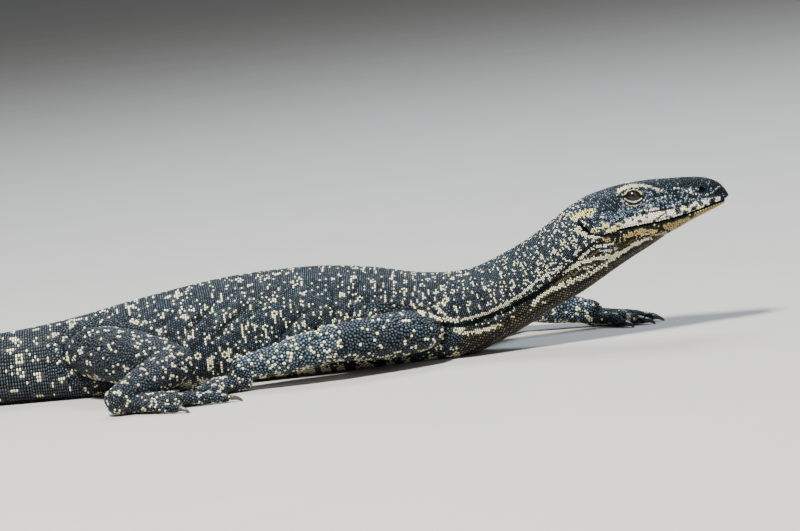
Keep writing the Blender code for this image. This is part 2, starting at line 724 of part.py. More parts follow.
def main():
    clear_scene()
    build_trunk()
    build_head()
    for word in ("left", "right"):
        build_leg(("upper_arm", "forearm"), "hand", word, FORE[word], FORE_SIZES)
        build_leg(("thigh", "shank"), "foot", word, HIND[word], HIND_SIZES)


main()
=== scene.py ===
# %% [markdown]
# # A life-size lace monitor
#
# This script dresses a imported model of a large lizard. The frame gives plain solids for its body, legs,
# eyes and claws. Here one fine skin takes the place of all the flesh, a coat of separate scales grows on
# that skin, and the eyes, claws, lights and camera are added. Everything is in metres, +X points to the
# snout, +Y to the animal's left and +Z up.

# %% Load the frame
import math

import bpy
import numpy as np
from mathutils import Matrix, Vector
from mathutils.bvhtree import BVHTree
from mathutils.kdtree import KDTree


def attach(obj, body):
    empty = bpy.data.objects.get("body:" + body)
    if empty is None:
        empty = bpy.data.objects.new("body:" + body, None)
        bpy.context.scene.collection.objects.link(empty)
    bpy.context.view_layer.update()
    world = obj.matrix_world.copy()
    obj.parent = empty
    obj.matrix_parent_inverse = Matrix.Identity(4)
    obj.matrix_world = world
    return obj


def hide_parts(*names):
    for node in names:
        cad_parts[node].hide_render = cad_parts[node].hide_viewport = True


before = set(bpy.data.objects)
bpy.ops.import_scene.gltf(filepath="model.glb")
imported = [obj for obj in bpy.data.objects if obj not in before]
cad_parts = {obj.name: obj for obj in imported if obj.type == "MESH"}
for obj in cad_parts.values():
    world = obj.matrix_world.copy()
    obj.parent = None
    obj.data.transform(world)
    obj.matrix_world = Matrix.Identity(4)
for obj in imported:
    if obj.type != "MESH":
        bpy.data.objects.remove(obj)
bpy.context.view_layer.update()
MM = 0.001

# %% [markdown]
# ## The camera
#
# The photo looks at the animal's right flank from a little above, through a long lens, and the ground
# rises to the right, so the camera is rolled. One pixel of the photo is 0.8 mm in the plane of the
# animal, which fixes how wide the view is at the camera's distance. The camera is built from its own
# right, up and forward directions, because a roll is easier to see there than in three angles.

# %% Place the camera
PIXEL = 0.8 * MM
PHOTO_SIZE = (800, 531)
ROLL = math.radians(6)
ELEVATION = math.radians(7)
CAMERA_DISTANCE = 3.0
FRAME_MIDDLE = (0.080, 0.0848)    # of the view, along its own right and up, from the model's origin
SENSOR = 36.0

forward = Vector((0, math.cos(ELEVATION), -math.sin(ELEVATION)))
level_right = Vector((1, 0, 0))
level_up = level_right.cross(forward)
view_right = level_right * math.cos(ROLL) - level_up * math.sin(ROLL)
view_up = level_right * math.sin(ROLL) + level_up * math.cos(ROLL)
aim = view_right * FRAME_MIDDLE[0] + view_up * FRAME_MIDDLE[1]

bpy.ops.object.camera_add()
camera = bpy.context.object
camera.name = "camera"
turn = Matrix((view_right, view_up, -forward)).transposed().to_4x4()
camera.matrix_world = Matrix.Translation(aim - forward * CAMERA_DISTANCE) @ turn
camera.data.sensor_width = SENSOR
camera.data.lens = SENSOR * CAMERA_DISTANCE / (PHOTO_SIZE[0] * PIXEL)
camera.data.clip_end = 100
bpy.context.scene.camera = camera
print("lens in mm:", round(camera.data.lens, 1))

# %% [markdown]
# ## Shader maths as Python
#
# A material is a graph of nodes, and sums built node by node are hard to read. One small class wraps a
# socket and overloads the operators, so that a line such as `1 - mask * 0.5` adds its own Math nodes.
# Every other node comes from one method, which sets the node's settings first and then its inputs.

# %% A socket that can be added and multiplied
class Flow:
    """An output socket in a node tree. Operators on it add Math nodes."""

    def __init__(self, tree, socket):
        self.tree = tree
        self.socket = socket

    def math(self, operation, *others):
        """A Math node fed by this socket and the others, which may be numbers."""
        node = self.tree.nodes.new("ShaderNodeMath")
        node.operation = operation
        for place, value in enumerate((self, *others)):
            if isinstance(value, Flow):
                self.tree.links.new(value.socket, node.inputs[place])
            else:
                node.inputs[place].default_value = value
        return Flow(self.tree, node.outputs[0])

    def __add__(self, other):
        return self.math("ADD", other)

    def __sub__(self, other):
        return self.math("SUBTRACT", other)

    def __mul__(self, other):
        return self.math("MULTIPLY", other)

    def __rsub__(self, other):
        return (self * -1).math("ADD", other)

    __radd__ = __add__
    __rmul__ = __mul__

    def clamped(self):
        """Kept between 0 and 1."""
        return self.math("MAXIMUM", 0.0).math("MINIMUM", 1.0)


# %% A material and its nodes
SOCKETS = {
    "base_color": "Base Color",
    "roughness": "Roughness",
    "coat": "Coat Weight",
    "coat_roughness": "Coat Roughness",
    "specular": "Specular IOR Level",
    "specular_tint": "Specular Tint",
    "normal": "Normal",
}


class Finish:
    """A new material and its nodes."""

    def __init__(self, name):
        self.material = bpy.data.materials.new(name)
        self.material.use_nodes = True
        self.tree = self.material.node_tree
        self.shader = self.tree.nodes["Principled BSDF"]

    def node(self, kind, settings=None, inputs=None, output=0):
        """A node with its settings made first and then its inputs, each a value or a link."""
        node = self.tree.nodes.new(kind)
        for name, value in (settings or {}).items():
            if name == "stops":
                ramp = node.color_ramp.elements
                while len(ramp) < len(value):
                    ramp.new(0.5)
                for element, (place, colour) in zip(ramp, value):
                    element.position = place
                    element.color = (*colour, 1)
            else:
                setattr(node, name, value)
        for name, value in (inputs or {}).items():
            self.feed(node.inputs[name], value)
        return Flow(self.tree, node.outputs[output])

    def feed(self, socket, value):
        if isinstance(value, Flow):
            self.tree.links.new(value.socket, socket)
        elif hasattr(value, "__len__") and len(value) == 3 and socket.type == "RGBA":
            socket.default_value = (*value, 1)
        else:
            socket.default_value = value

    def set(self, **inputs):
        """Sets the shader's sockets, written as base_color for Base Color."""
        for name, value in inputs.items():
            self.feed(self.shader.inputs[SOCKETS[name]], value)
        return self.material

    def mix(self, share, first, second, blend="MIX"):
        settings = {"data_type": "RGBA", "blend_type": blend}
        return self.node("ShaderNodeMix", settings, {0: share, 6: first, 7: second}, output=2)

    def noise(self, vector, scale, detail=3.0):
        return self.node("ShaderNodeTexNoise", {}, {"Vector": vector, "Scale": scale, "Detail": detail})

    def place(self):
        """Object coordinates, in metres."""
        return self.node("ShaderNodeTexCoord", output=3)

    def attribute(self, name):
        return self.node("ShaderNodeAttribute", {"attribute_name": name})

    def bump(self, height, strength, distance):
        inputs = {"Height": height, "Strength": strength, "Distance": distance}
        return self.node("ShaderNodeBump", {}, inputs)


print("sockets that a finish can set:", ", ".join(SOCKETS))

# %% [markdown]
# ## Floor and light
#
# A museum model is shown on a plain pale ground, so the floor is one large sheet that runs past the edges
# of every view. Three large soft lamps stand round it: a high key that gives each scale its glint, a broad
# fill on the camera's side so that the flank isn't lost, and a cool light behind for the back's edge.

# %% Lay the floor
FLOOR_HALF = 14.0
FLOOR_GREYS = ((0.37, 0.361, 0.348), (0.41, 0.40, 0.387))
floor_finish = Finish("pale_floor")
grain = floor_finish.noise(floor_finish.place(), 6.0)
floor_finish.set(base_color=floor_finish.mix(grain, *FLOOR_GREYS), roughness=0.8)
bpy.ops.mesh.primitive_plane_add(size=2 * FLOOR_HALF, location=(0, FLOOR_HALF / 2, 0))
floor = bpy.context.object
bpy.ops.object.transform_apply(location=True)
floor.name = "floor"
floor.data.materials.append(floor_finish.material)
print("floor:", 2 * FLOOR_HALF, "m across")

# %% Hang the lamps
SKY_COLOUR = (0.80, 0.84, 0.90)
SKY_STRENGTH = 0.19
LAMPS = [    # name, place, what it points at, width, power in watts, colour
    ("key", (-0.5, -1.5, 2.5), (0.05, 0, 0.05), 0.45, 280, (1.0, 0.97, 0.90)),
    ("fill", (1.9, -2.6, 1.3), (0.0, 0, 0.05), 2.0, 22, (0.88, 0.93, 1.0)),
    ("edge", (0.3, 1.6, 2.6), (0.0, 0, 0.05), 1.4, 105, (0.78, 0.89, 1.0)),
]
for name, place, target, width, power, colour in LAMPS:
    bpy.ops.object.light_add(type="AREA", location=place)
    lamp = bpy.context.object
    lamp.name = name
    lamp.rotation_euler = (Vector(target) - Vector(place)).to_track_quat("-Z", "Y").to_euler()
    lamp.data.size = width
    lamp.data.energy = power
    lamp.data.color = colour

world = bpy.data.worlds.new("studio")
world.use_nodes = True
sky = world.node_tree.nodes["Background"].inputs
sky["Color"].default_value = (*SKY_COLOUR, 1)
sky["Strength"].default_value = SKY_STRENGTH
bpy.context.scene.world = world
print("lamps and their watts:", {name: power for name, _, _, _, power, _ in LAMPS})

# %% [markdown]
# ## Small tools for meshes
#
# Operators act on whatever is selected, and the frame arrives selected, so each use starts by clearing
# the selection. The animal's surfaces have tens of thousands of points. Those are worked out as arrays
# of numbers and written into a mesh in one go, which is far quicker than moving points one at a time. A
# tube is a grid of points bent round until its sides meet, so one rule gives all its faces.

# %% Selecting, reading and writing
def pick(*objects):
    """Makes these the only selected objects, and the first one active."""
    bpy.ops.object.select_all(action="DESELECT")
    for one in objects:
        one.select_set(True)
    bpy.context.view_layer.objects.active = objects[0]
    return objects[0]


def read(items, name, width, kind=np.float32):
    """One property of a mesh's points, edges, faces or corners, as an array of rows."""
    found = np.empty(len(items) * width, kind)
    items.foreach_get(name, found)
    return found.reshape(-1, width)


def points_of(thing):
    return read(thing.data.vertices, "co", 3).astype(float)


def normals_of(thing):
    return read(thing.data.vertices, "normal", 3).astype(float)


def edges_of(thing):
    return read(thing.data.edges, "vertices", 2, np.int32)


def corners_of(thing):
    """The number of the point at each corner of each face."""
    return read(thing.data.loops, "vertex_index", 1, np.int32).ravel()


def move_points(thing, points):
    thing.data.vertices.foreach_set("co", np.asarray(points, np.float32).ravel())
    thing.data.update()


def select_points(thing, chosen):
    """Goes into edit mode with the chosen points, and the edges and faces between them, selected."""
    pick(thing)
    mesh = thing.data
    chosen = np.asarray(chosen, bool)
    mesh.vertices.foreach_set("select", chosen)
    mesh.edges.foreach_set("select", chosen[edges_of(thing)].all(axis=1))
    starts = read(mesh.polygons, "loop_start", 1, np.int32).ravel()
    mesh.polygons.foreach_set("select", np.logical_and.reduceat(chosen[corners_of(thing)], starts))
    bpy.ops.object.mode_set(mode="EDIT")


# %% Making meshes
def mesh_from(name, points, faces):
    """An object from an array of points and a list of arrays of equal-sided faces."""
    mesh = bpy.data.meshes.new(name)
    counts = np.concatenate([np.full(len(f), f.shape[1], np.int32) for f in faces])
    corners = np.concatenate([f.ravel() for f in faces]).astype(np.int32)
    mesh.vertices.add(len(points))
    mesh.vertices.foreach_set("co", np.asarray(points, np.float32).ravel())
    mesh.loops.add(len(corners))
    mesh.loops.foreach_set("vertex_index", corners)
    mesh.polygons.add(len(counts))
    starts = np.concatenate([[0], np.cumsum(counts)[:-1]]).astype(np.int32)
    mesh.polygons.foreach_set("loop_start", starts)
    mesh.update(calc_edges=True)
    mesh.shade_smooth()
    made = bpy.data.objects.new(name, mesh)
    bpy.context.scene.collection.objects.link(made)
    return made


def grid_faces(rows, columns):
    """Four-sided faces of a tube of rows, closed round its columns."""
    row, column = np.meshgrid(np.arange(rows - 1), np.arange(columns), indexing="ij")
    here, beside = row * columns + column, row * columns + (column + 1) % columns
    return np.stack([c.ravel() for c in (here, beside, beside + columns, here + columns)], axis=1)


def closed_tube(name, rings):
    """A closed surface over rings, with a point in each end."""
    rows, columns = rings.shape[:2]
    points = np.concatenate([rings.reshape(-1, 3), rings[0].mean(0)[None], rings[-1].mean(0)[None]])
    column = np.arange(columns)
    after = (column + 1) % columns
    first, last = rows * columns, rows * columns + 1
    start = np.stack([after, column, np.full(columns, first)], axis=1)
    base = (rows - 1) * columns
    end = np.stack([base + column, base + after, np.full(columns, last)], axis=1)
    return mesh_from(name, points, [grid_faces(rows, columns), start, end])


# %% Welding and smoothing
def weld(thing, others):
    """Joins the others to thing by a Boolean union, and uses them up."""
    group = bpy.data.collections.new("pieces_to_weld")
    bpy.context.scene.collection.children.link(group)
    for other in others:
        bpy.context.scene.collection.objects.unlink(other)
        group.objects.link(other)
    pick(thing)
    modifier = thing.modifiers.new("weld", "BOOLEAN")
    modifier.operation = "UNION"
    modifier.operand_type = "COLLECTION"
    modifier.collection = group
    modifier.solver = "MANIFOLD"
    bpy.ops.object.modifier_apply(modifier=modifier.name)
    for other in others:
        bpy.data.objects.remove(other)
    bpy.data.collections.remove(group)


def relaxed(points, edges, weight, rounds):
    """Points moved towards the mean of their neighbours, each by its weight, round after round."""
    count = len(points)
    ends = np.concatenate([edges[:, 0], edges[:, 1]])
    others = np.concatenate([edges[:, 1], edges[:, 0]])
    degree = np.maximum(np.bincount(ends, minlength=count), 1)
    for _ in range(rounds):
        mean = np.stack(
            [np.bincount(ends, points[others, axis], minlength=count) / degree for axis in range(3)], axis=1
        )
        points = points + (mean - points) * weight[:, None]
    return points


# %% Rules for numbers and places
def running_total(steps):
    return np.concatenate([[0], np.cumsum(steps)])


def tree_over(points):
    """The points sorted so that the nearest ones to a place are found quickly."""
    tree = KDTree(len(points))
    for number, point in enumerate(points):
        tree.insert(point, number)
    tree.balance()
    return tree


def soft_step(low, high, values):
    """0 up to low and 1 from high on, with a smooth rise between. low may be the larger one."""
    share = np.clip((values - low) / (high - low), 0, 1)
    return share * share * (3 - 2 * share)


def bell(values, width):
    """1 at 0, falling smoothly away on both sides."""
    return np.exp(-((values / width) ** 2))


def read_off(table, x):
    """The second column of a table at x of its first, straight between its rows."""
    return np.interp(x, [row[0] for row in table], [row[1] for row in table])


# %% [markdown]
# ## The body as one run of rings
#
# A lizard's body from the tip of the tail to the snout is one long tube. Each station below gives the
# tube's top and lowest point in the side view, its half width, and how square its section is. The stations
# are those of the solids, so the skin follows them everywhere, a coat's depth inside.

# %% Stations of the body
COAT_DEPTH = 0.5 * MM
TAIL_LENGTH = 810 * MM
TAIL_STATIONS = 12
TAIL_ROOT_X = -235 * MM
TAIL_SWING = 0.40
TAIL_WAVE = 600 * MM
TAIL_FLAT = 2 * MM
TAIL_STEPS = 200
TAIL_HEIGHTS = (56, 5.0)           # at the root and the tip, in millimetres
TAIL_HALF_WIDTHS = (26, 1.6)
TAIL_SECTION = (0.42, 1.9, 2.2)    # height of the widest point, roundness above and below
HEAD_MIDDLE = -3 * MM      # the head's own middle lies this far to the side

# Top x and z, lowest x and z, half width, side, height of the widest point, roundness above and below.
BODY = np.array([
    (-235, 56, -235, -2, 26, 0, 0.42, 2.0, 2.3),  # tail root
    (-192, 60, -192, -2.5, 31, 0, 0.40, 2.0, 2.5),  # vent
    (-152, 66.5, -152, -3, 39, 1, 0.38, 2.0, 2.6),  # hips
    (-105, 74, -105, -3, 47, 5, 0.36, 2.0, 2.7),  # loin
    (-45, 81, -45, -3, 56, 11, 0.35, 2.0, 2.8),  # belly
    (15, 82, 15, -3, 57, 12, 0.36, 2.0, 2.8),  # ribs
    (62, 77.5, 62, -3, 50, 8, 0.40, 2.0, 2.7),  # front ribs
    (98, 70, 100, -2.5, 42, 4, 0.44, 2.1, 2.5),  # shoulders
    (126, 67.3, 136, -1, 36, 1, 0.50, 2.1, 2.1),  # breast
    (147, 69.3, 165, 9, 32, -1, 0.54, 2.1, 1.9),  # neck root
    (168, 76.8, 190, 20.5, 30, -2, 0.56, 2.1, 1.9),  # neck
    (189, 86.3, 212, 32, 29, -3, 0.56, 2.1, 1.9),
    (208, 97.5, 232, 41, 28.5, -3, 0.57, 2.2, 1.9),
    (225, 108.5, 249, 50.5, 29, -3, 0.58, 2.3, 1.9),  # nape
    (240, 116, 263, 58.5, 29.5, -3, 0.58, 2.4, 1.9),  # ear
    (254, 120, 275, 65, 28, -3, 0.54, 2.5, 2.0),  # jaw corner
    (268, 122.8, 286, 70.5, 24.5, -3, 0.50, 2.6, 2.0),
    (281, 124, 294, 74.8, 21.5, -3, 0.46, 2.7, 2.1),  # eye
    (294, 124.6, 302, 79.4, 19, -3, 0.42, 2.6, 2.1),
    (307, 124.2, 311, 83.2, 16.8, -3, 0.40, 2.5, 2.2),  # muzzle
    (321, 123.8, 322, 88.2, 14.8, -3, 0.38, 2.4, 2.2),
    (335, 122.2, 334, 93, 13, -3, 0.38, 2.4, 2.2),  # nostrils
    (345.5, 118, 344, 97, 10.2, -3, 0.40, 2.3, 2.2),
    (350.8, 112.6, 349.5, 100, 7.2, -3, 0.45, 2.2, 2.2),
    (353.6, 107.6, 353.2, 104.6, 2.4, -3, 0.5, 2.0, 2.0),  # snout tip
])
# Swellings and hollows of the head, on both sides: centre, reach along each axis, height.
HEAD_FORMS = [
    ((279.5, 19, 121.8), (17, 6, 3.2), 2.6),  # brow ridge
    ((303, 15, 119), (22, 4, 3.5), 0.9),  # ridge from the eye to the nostril
    ((249, 27, 102), (13, 10, 12), 1.8),  # jaw muscle
    ((264, 25, 112.5), (9, 8, 5), -1.2),  # hollow behind the eye
    ((304, 17, 111.5), (12, 6, 4), -1.4),  # hollow before the eye
    ((337, 12, 113), (7, 5, 5), 0.9),  # swelling round the nostril
    ((299, 18, 97.3), (42, 8, 3.2), 1.1),  # upper lip
    ((294, 18, 84.5), (40, 8, 4), 0.9),  # lower jaw
]
NECK_FOLD = np.array([
    (107, 32.5), (132, 30.5), (152, 35.5), (172, 41.5), (192, 50),
    (208, 58.5), (224, 69.5), (234, 78.5), (244, 82.5),
]) * MM
NECK_FOLD_DEPTH = 3.6 * MM
NECK_FOLD_WIDTH = 5.5 * MM
NECK_FOLD_ASIDE = 14 * MM    # from the neck's middle, where the fold has its full depth

# %% [markdown]
# ## Every ring from the stations
#
# A smooth curve through the stations gives a ring anywhere between them. The tail tapers by a formula, and
# lies in a wave. On the head, where plain rings look dull, soft swellings and hollows are added, and the
# fold along the neck is one long hollow.

# %% Put the stations in a row
tail_step = TAIL_LENGTH / TAIL_STEPS
swing = TAIL_SWING * np.sin(2 * np.pi * (np.arange(TAIL_STEPS) + 0.5) * tail_step / TAIL_WAVE)
tail_x = TAIL_ROOT_X - running_total(np.cos(swing)) * tail_step
tail_y = running_total(np.sin(swing)) * tail_step
stations = []
for number in range(TAIL_STATIONS, 0, -1):
    share = number / TAIL_STATIONS
    place = round(share * TAIL_STEPS)
    height = (TAIL_HEIGHTS[0] * (1 - share) ** 1.15 + TAIL_HEIGHTS[1] * share) * MM
    half_width = (TAIL_HALF_WIDTHS[0] * (1 - share) ** 1.55 + TAIL_HALF_WIDTHS[1] * share) * MM
    low = -TAIL_FLAT * (1 - share) ** 0.5
    stations.append((tail_x[place], tail_y[place], 0, height, low, half_width, *TAIL_SECTION))
for top_x, top_z, low_x, low_z, half_width, side, *section in BODY:
    middle, lean = (top_x + low_x) / 2 * MM, (top_x - low_x) / 2 * MM
    stations.append((middle, side * MM, lean, top_z * MM, low_z * MM, half_width * MM, *section))
STATIONS = np.array(stations)
TAIL_ROOT = TAIL_STATIONS             # station numbers of places along the body
SNOUT_TIP = len(STATIONS) - 1
HEADING_STEP = 0.05                   # of a station, over which the body's heading is measured
print(len(STATIONS), "stations from the tail's tip to the snout")


# %% Read rings off the stations
def along_stations(t):
    """The stations' values at t, a smooth curve through them, as one row for each t."""
    index = np.clip(np.floor(t).astype(int), 0, SNOUT_TIP - 1)
    f = (t - index)[:, None]
    before, start = STATIONS[np.maximum(index - 1, 0)], STATIONS[index]
    end, after = STATIONS[index + 1], STATIONS[np.minimum(index + 2, SNOUT_TIP)]
    return (
        start * (2 * f**3 - 3 * f**2 + 1)
        + (end - before) / 2 * (f**3 - 2 * f**2 + f)
        + end * (3 * f**2 - 2 * f**3)
        + (after - start) / 2 * (f**3 - f**2)
    )


def head_and_neck_forms(points, middle):
    """How far the surface stands out, or sinks in, at each point."""
    x, z = points[:, :, 0], points[:, :, 2]
    aside = np.abs(points[:, :, 1] - middle)
    push = np.zeros_like(x)
    for centre, reach, height in HEAD_FORMS:
        away = sum(((value / MM - c) / r) ** 2 for value, c, r in zip((x, aside, z), centre, reach))
        push += height * MM * np.exp(-away)
    start, end = NECK_FOLD[0, 0], NECK_FOLD[-1, 0]
    share = np.clip((x - start) / (end - start), 0, 1)
    fade = np.sin(np.pi * share) ** 0.5
    below = (z - read_off(NECK_FOLD, x) + NECK_FOLD_WIDTH) / NECK_FOLD_WIDTH
    lateral = np.minimum(aside / NECK_FOLD_ASIDE, 1)
    return push - NECK_FOLD_DEPTH * fade * lateral * np.exp(-below * below)


def body_rings(t, angles, grow):
    """Points of the body at stations t and angles from the back, as rows of rings. grow makes it larger."""
    t = np.asarray(t, float)
    x, y, lean, top, low, half_width, widest, upper, lower = along_stations(t).T[:, :, None]
    ahead = along_stations(np.minimum(t + HEADING_STEP, SNOUT_TIP))[:, :2]
    behind = along_stations(np.maximum(t - HEADING_STEP, 0))[:, :2]
    heading = ahead - behind
    heading /= np.linalg.norm(heading, axis=1)[:, None]
    hx, hy = heading[:, 0][:, None], heading[:, 1][:, None]
    top, low, half_width = top + grow, low - grow, half_width + grow
    split = low + (top - low) * widest
    side, up = np.sin(angles)[None, :], np.cos(angles)[None, :]
    power = 2 / np.where(up >= 0, upper, lower)
    across = np.sign(side) * np.abs(side) ** power * half_width
    rise = np.abs(up) ** power
    z = np.where(up >= 0, split + (top - split) * rise, split - (split - low) * rise)
    share = (z - low) / (top - low)
    slide = lean * (2 * share - 1)
    points = np.stack([x - hy * across + hx * slide, y + hx * across + hy * slide, z], axis=2)
    outwards = np.stack([-hy * side, hx * side, up + 0 * x], axis=2)
    return points + head_and_neck_forms(points, y)[:, :, None] * outwards


# %% [markdown]
# ## Rows along the body
#
# A row of vertices is wanted every millimetre on the head, where lids and lips need them, and only every
# few millimetres along the tail. Station numbers aren't lengths, so the length along the body's middle
# is measured first, and rows are then laid out by length with a spacing that changes on the way.

# %% Lay out rows by length
fine_t = np.linspace(0, SNOUT_TIP, 3000)
values = along_stations(fine_t)
middle_line = np.stack([values[:, 0], values[:, 1], (values[:, 3] + values[:, 4]) / 2], axis=1)
fine_length = running_total(np.linalg.norm(np.diff(middle_line, axis=0), axis=1))
BODY_LENGTH = fine_length[-1]


def length_at(t):
    """Length along the body's middle from the tail's tip to a station."""
    return np.interp(t, fine_t, fine_length)


def station_at(length):
    """The station, which may lie between two, at a length from the tail's tip."""
    return np.interp(length, fine_length, fine_t)


def rows_between(start, end, spacing):
    """Station numbers from start to end. spacing is a table of station number and distance."""
    places = np.linspace(length_at(start), length_at(end), 4000)
    gaps = np.interp(station_at(places), [row[0] for row in spacing], [row[1] * MM for row in spacing])
    count = running_total(np.diff(places) / gaps[:-1])
    rows = max(2, round(count[-1]))
    return station_at(np.interp(np.linspace(0, count[-1], rows + 1), count, places))


HIPS, BELLY, SHOULDERS = TAIL_ROOT + 2, TAIL_ROOT + 4, TAIL_ROOT + 7
NECK_ROOT, NAPE, JAW_CORNER = TAIL_ROOT + 9, TAIL_ROOT + 13, TAIL_ROOT + 15
print("tail", round(length_at(TAIL_ROOT) / MM), "mm, whole animal", round(BODY_LENGTH / MM), "mm")

# %% [markdown]
# ## The tube of the body
#
# Rings in order are already a tube: a band of four-sided faces joins each to the next, and a fan of
# triangles closes each end. The last few millimetres of the tail are drawn in to a blunt tip. Nothing of
# the skin lies lower than the coat's depth, because scales go under it too.

# %% Make the body's tube
SKIN_COLUMNS = 120
SKIN_ROWS = [(0, 7), (TAIL_ROOT - 1, 6), (HIPS, 3.2), (SHOULDERS, 2.8), (NECK_ROOT, 2.1), (NAPE, 1.5),
             (JAW_CORNER, 1.0), (SNOUT_TIP, 0.9)]
TAIL_TIP_ROUNDING = 5 * MM

skin_t = rows_between(0, SNOUT_TIP, SKIN_ROWS)
skin_angles = 2 * np.pi * np.arange(SKIN_COLUMNS) / SKIN_COLUMNS


def resting(points, lowest=COAT_DEPTH):
    """Points with none below the given level."""
    points = np.array(points)
    points[..., 2] = np.maximum(points[..., 2], lowest)
    return points


def rounded_tip(rings, t):
    """Rings of the body with those at the tail's end drawn in."""
    share = np.clip(length_at(t) / TAIL_TIP_ROUNDING, 0.02, 1)
    size = np.sqrt(1 - (1 - share) ** 2)[:, None, None]
    middle = rings.mean(axis=1, keepdims=True)
    return middle + (rings - middle) * size


skin_rings = resting(rounded_tip(body_rings(skin_t, skin_angles, -COAT_DEPTH), skin_t))
skin = closed_tube("skin", skin_rings)
print("body tube:", len(skin.data.polygons), "faces in", len(skin_t), "rows")

# %% [markdown]
# ## Legs, hands and feet
#
# A lizard's leg is two fleshy lengths and a flat hand or foot with long fingers. Each is laid down as
# plain rounded rings, toe by toe. A voxel remesh then melts the pile into one surface, as if clay were
# pressed together. It reads only the outside, so the pieces may run into each other. A decimate leaves no
# more faces than the scales on top need.

# %% Sizes of the legs
# Hand or foot, front or hind, side, shoulder or hip, elbow or knee, wrist or ankle, heading
# of the toes in degrees, and whether the palm is turned up.
LEGS = [
    ("hand", "front", "right", (102, -31, 26.5), (33, -67, 29.5), (-42, -72, 17), 181, True),
    ("hand", "front", "left", (114, 33, 28.5), (176, 92, 25), (240, 80, 12.5), -6, False),
    ("foot", "hind", "right", (-160, -26, 37), (-93, -84, 28), (-138, -130, 13), 12, False),
    ("foot", "hind", "left", (-160, 28, 37), (-108, 90, 28), (-166, 128, 13), 24, False),
]
# Half width and half height at the three joints.
LEG_SIZES = {"hand": ((21, 19), (15.5, 15), (11, 10)), "foot": ((25, 24), (16.5, 16), (10.5, 9))}
# Rings of a rounded end: how far back from it, as a share of the half height, and their size.
ROUND_END = [(-0.98, 0.2), (-0.92, 0.40), (-0.78, 0.63), (-0.60, 0.80), (-0.42, 0.91), (-0.25, 0.97)]
# Fingers and toes: turn in degrees, length, root as a share of the palm's length, and how far aside.
DIGITS = {
    "hand": [
        (42, 19, 0.55, 8), (20, 25, 0.85, 6), (2, 28, 0.95, 1.5), (-15, 27, 0.88, -4),
        (-40, 20, 0.55, -8),
    ],
    "foot": [
        (34, 22, 0.62, 7), (16, 31, 0.85, 5.5), (4, 41, 0.95, 1.5), (-8, 48, 0.90, -3.5),
        (-38, 32, 0.35, -8),
    ],
}
PALM_LENGTH = {"hand": 25, "foot": 44}
PALM_SIZES = {"hand": (13.5, 6.5), "foot": (12.5, 7)}
WRIST_HALF_WIDTH = 9.5
TOE_SHARES = (0.0, 0.3, 0.62, 0.85, 1.0)
TOE_RADII = (4.8, 4.9, 4.32, 3.5, 2.8)
LEG_COLUMNS = 40
LEG_ROWS = 20
TOE_COLUMNS = 16
TOE_ROWS = 24
print("fingers and toes in mm:", {kind: [digit[1] for digit in rows] for kind, rows in DIGITS.items()})

# %% Rings of a fleshy length
def frame_along(start, end):
    """Along, sideways and up directions of a length."""
    along = (end - start) / np.linalg.norm(end - start)
    side = np.cross(along, (0, 0, 1))
    side = side / np.linalg.norm(side)
    return along, side, np.cross(side, along)


def flesh(start, end, size_start, size_end, swell=0.12):
    """A fleshy length with rounded ends, all in millimetres. Each size is a half width and half height."""
    start, end = np.array(start, float), np.array(end, float)
    along, side, up = frame_along(start, end)
    rows = [(start + along * size_start[1] * back, 0.0, scale) for back, scale in ROUND_END]
    for share in np.linspace(0, 1, LEG_ROWS + 1):
        rows.append((start + (end - start) * share, share, 1 + swell * math.sin(math.pi * share) ** 2))
    rows += [(end - along * size_end[1] * back, 1.0, scale) for back, scale in reversed(ROUND_END)]
    angles = 2 * np.pi * np.arange(LEG_COLUMNS) / LEG_COLUMNS
    rings = []
    for middle, share, scale in rows:
        width, height = (
            (a * (1 - share) + b * share - COAT_DEPTH / MM) * scale for a, b in zip(size_start, size_end)
        )
        rings.append(middle + np.outer(np.cos(angles) * width, side) + np.outer(np.sin(angles) * height, up))
    return closed_tube("flesh", resting(np.array(rings) * MM))


# %% [markdown]
# ## Where the toes lie
#
# Each toe leaves the palm at its own place and turn, arches a little and comes down on the floor. On the
# hand that lies palm up they come in the other order. The claws follow the same plan later on.

# %% Plan the toes
def toe_line(root, heading, length, palm_up):
    """The line of a toe from its root to the claw, with the level that it rests at, in millimetres."""
    level = TOE_RADII[-1] + 0.7
    heights = (root[2], root[2] + 0.6, level + 1.2, level, level)
    if palm_up:
        heights = (root[2], root[2] - 0.5, level + 0.3, level, level + 0.3)
    ahead = np.array((math.cos(heading), math.sin(heading)))
    return np.array([(*(root[:2] + ahead * length * s), z) for s, z in zip(TOE_SHARES, heights)])


def toe_plan(kind, word, wrist, degrees, palm_up):
    """Heel, ball and the lines of the five toes of a hand or foot."""
    heading = math.radians(degrees)
    ahead = np.array((math.cos(heading), math.sin(heading), 0))
    left = np.array((-ahead[1], ahead[0], 0))
    mirror = (1 if word == "right" else -1) * (-1 if palm_up else 1)
    height = PALM_SIZES[kind][1]
    heel = np.array((*wrist[:2], height + 1.5))
    ball = np.array((*wrist[:2], height - 0.8)) + ahead * PALM_LENGTH[kind]
    toes = []
    for turn, length, start, side in DIGITS[kind]:
        root = heel + (ball - heel) * start + left * side * mirror
        root[2] = TOE_RADII[0] + 1.2
        toes.append(toe_line(root, heading + math.radians(turn) * mirror, length + (1 - start) * 6, palm_up))
    return heel, ball, toes


# %% Melt each leg into one surface
VOXEL = 1.15 * MM
LEG_TRIANGLES = 10500


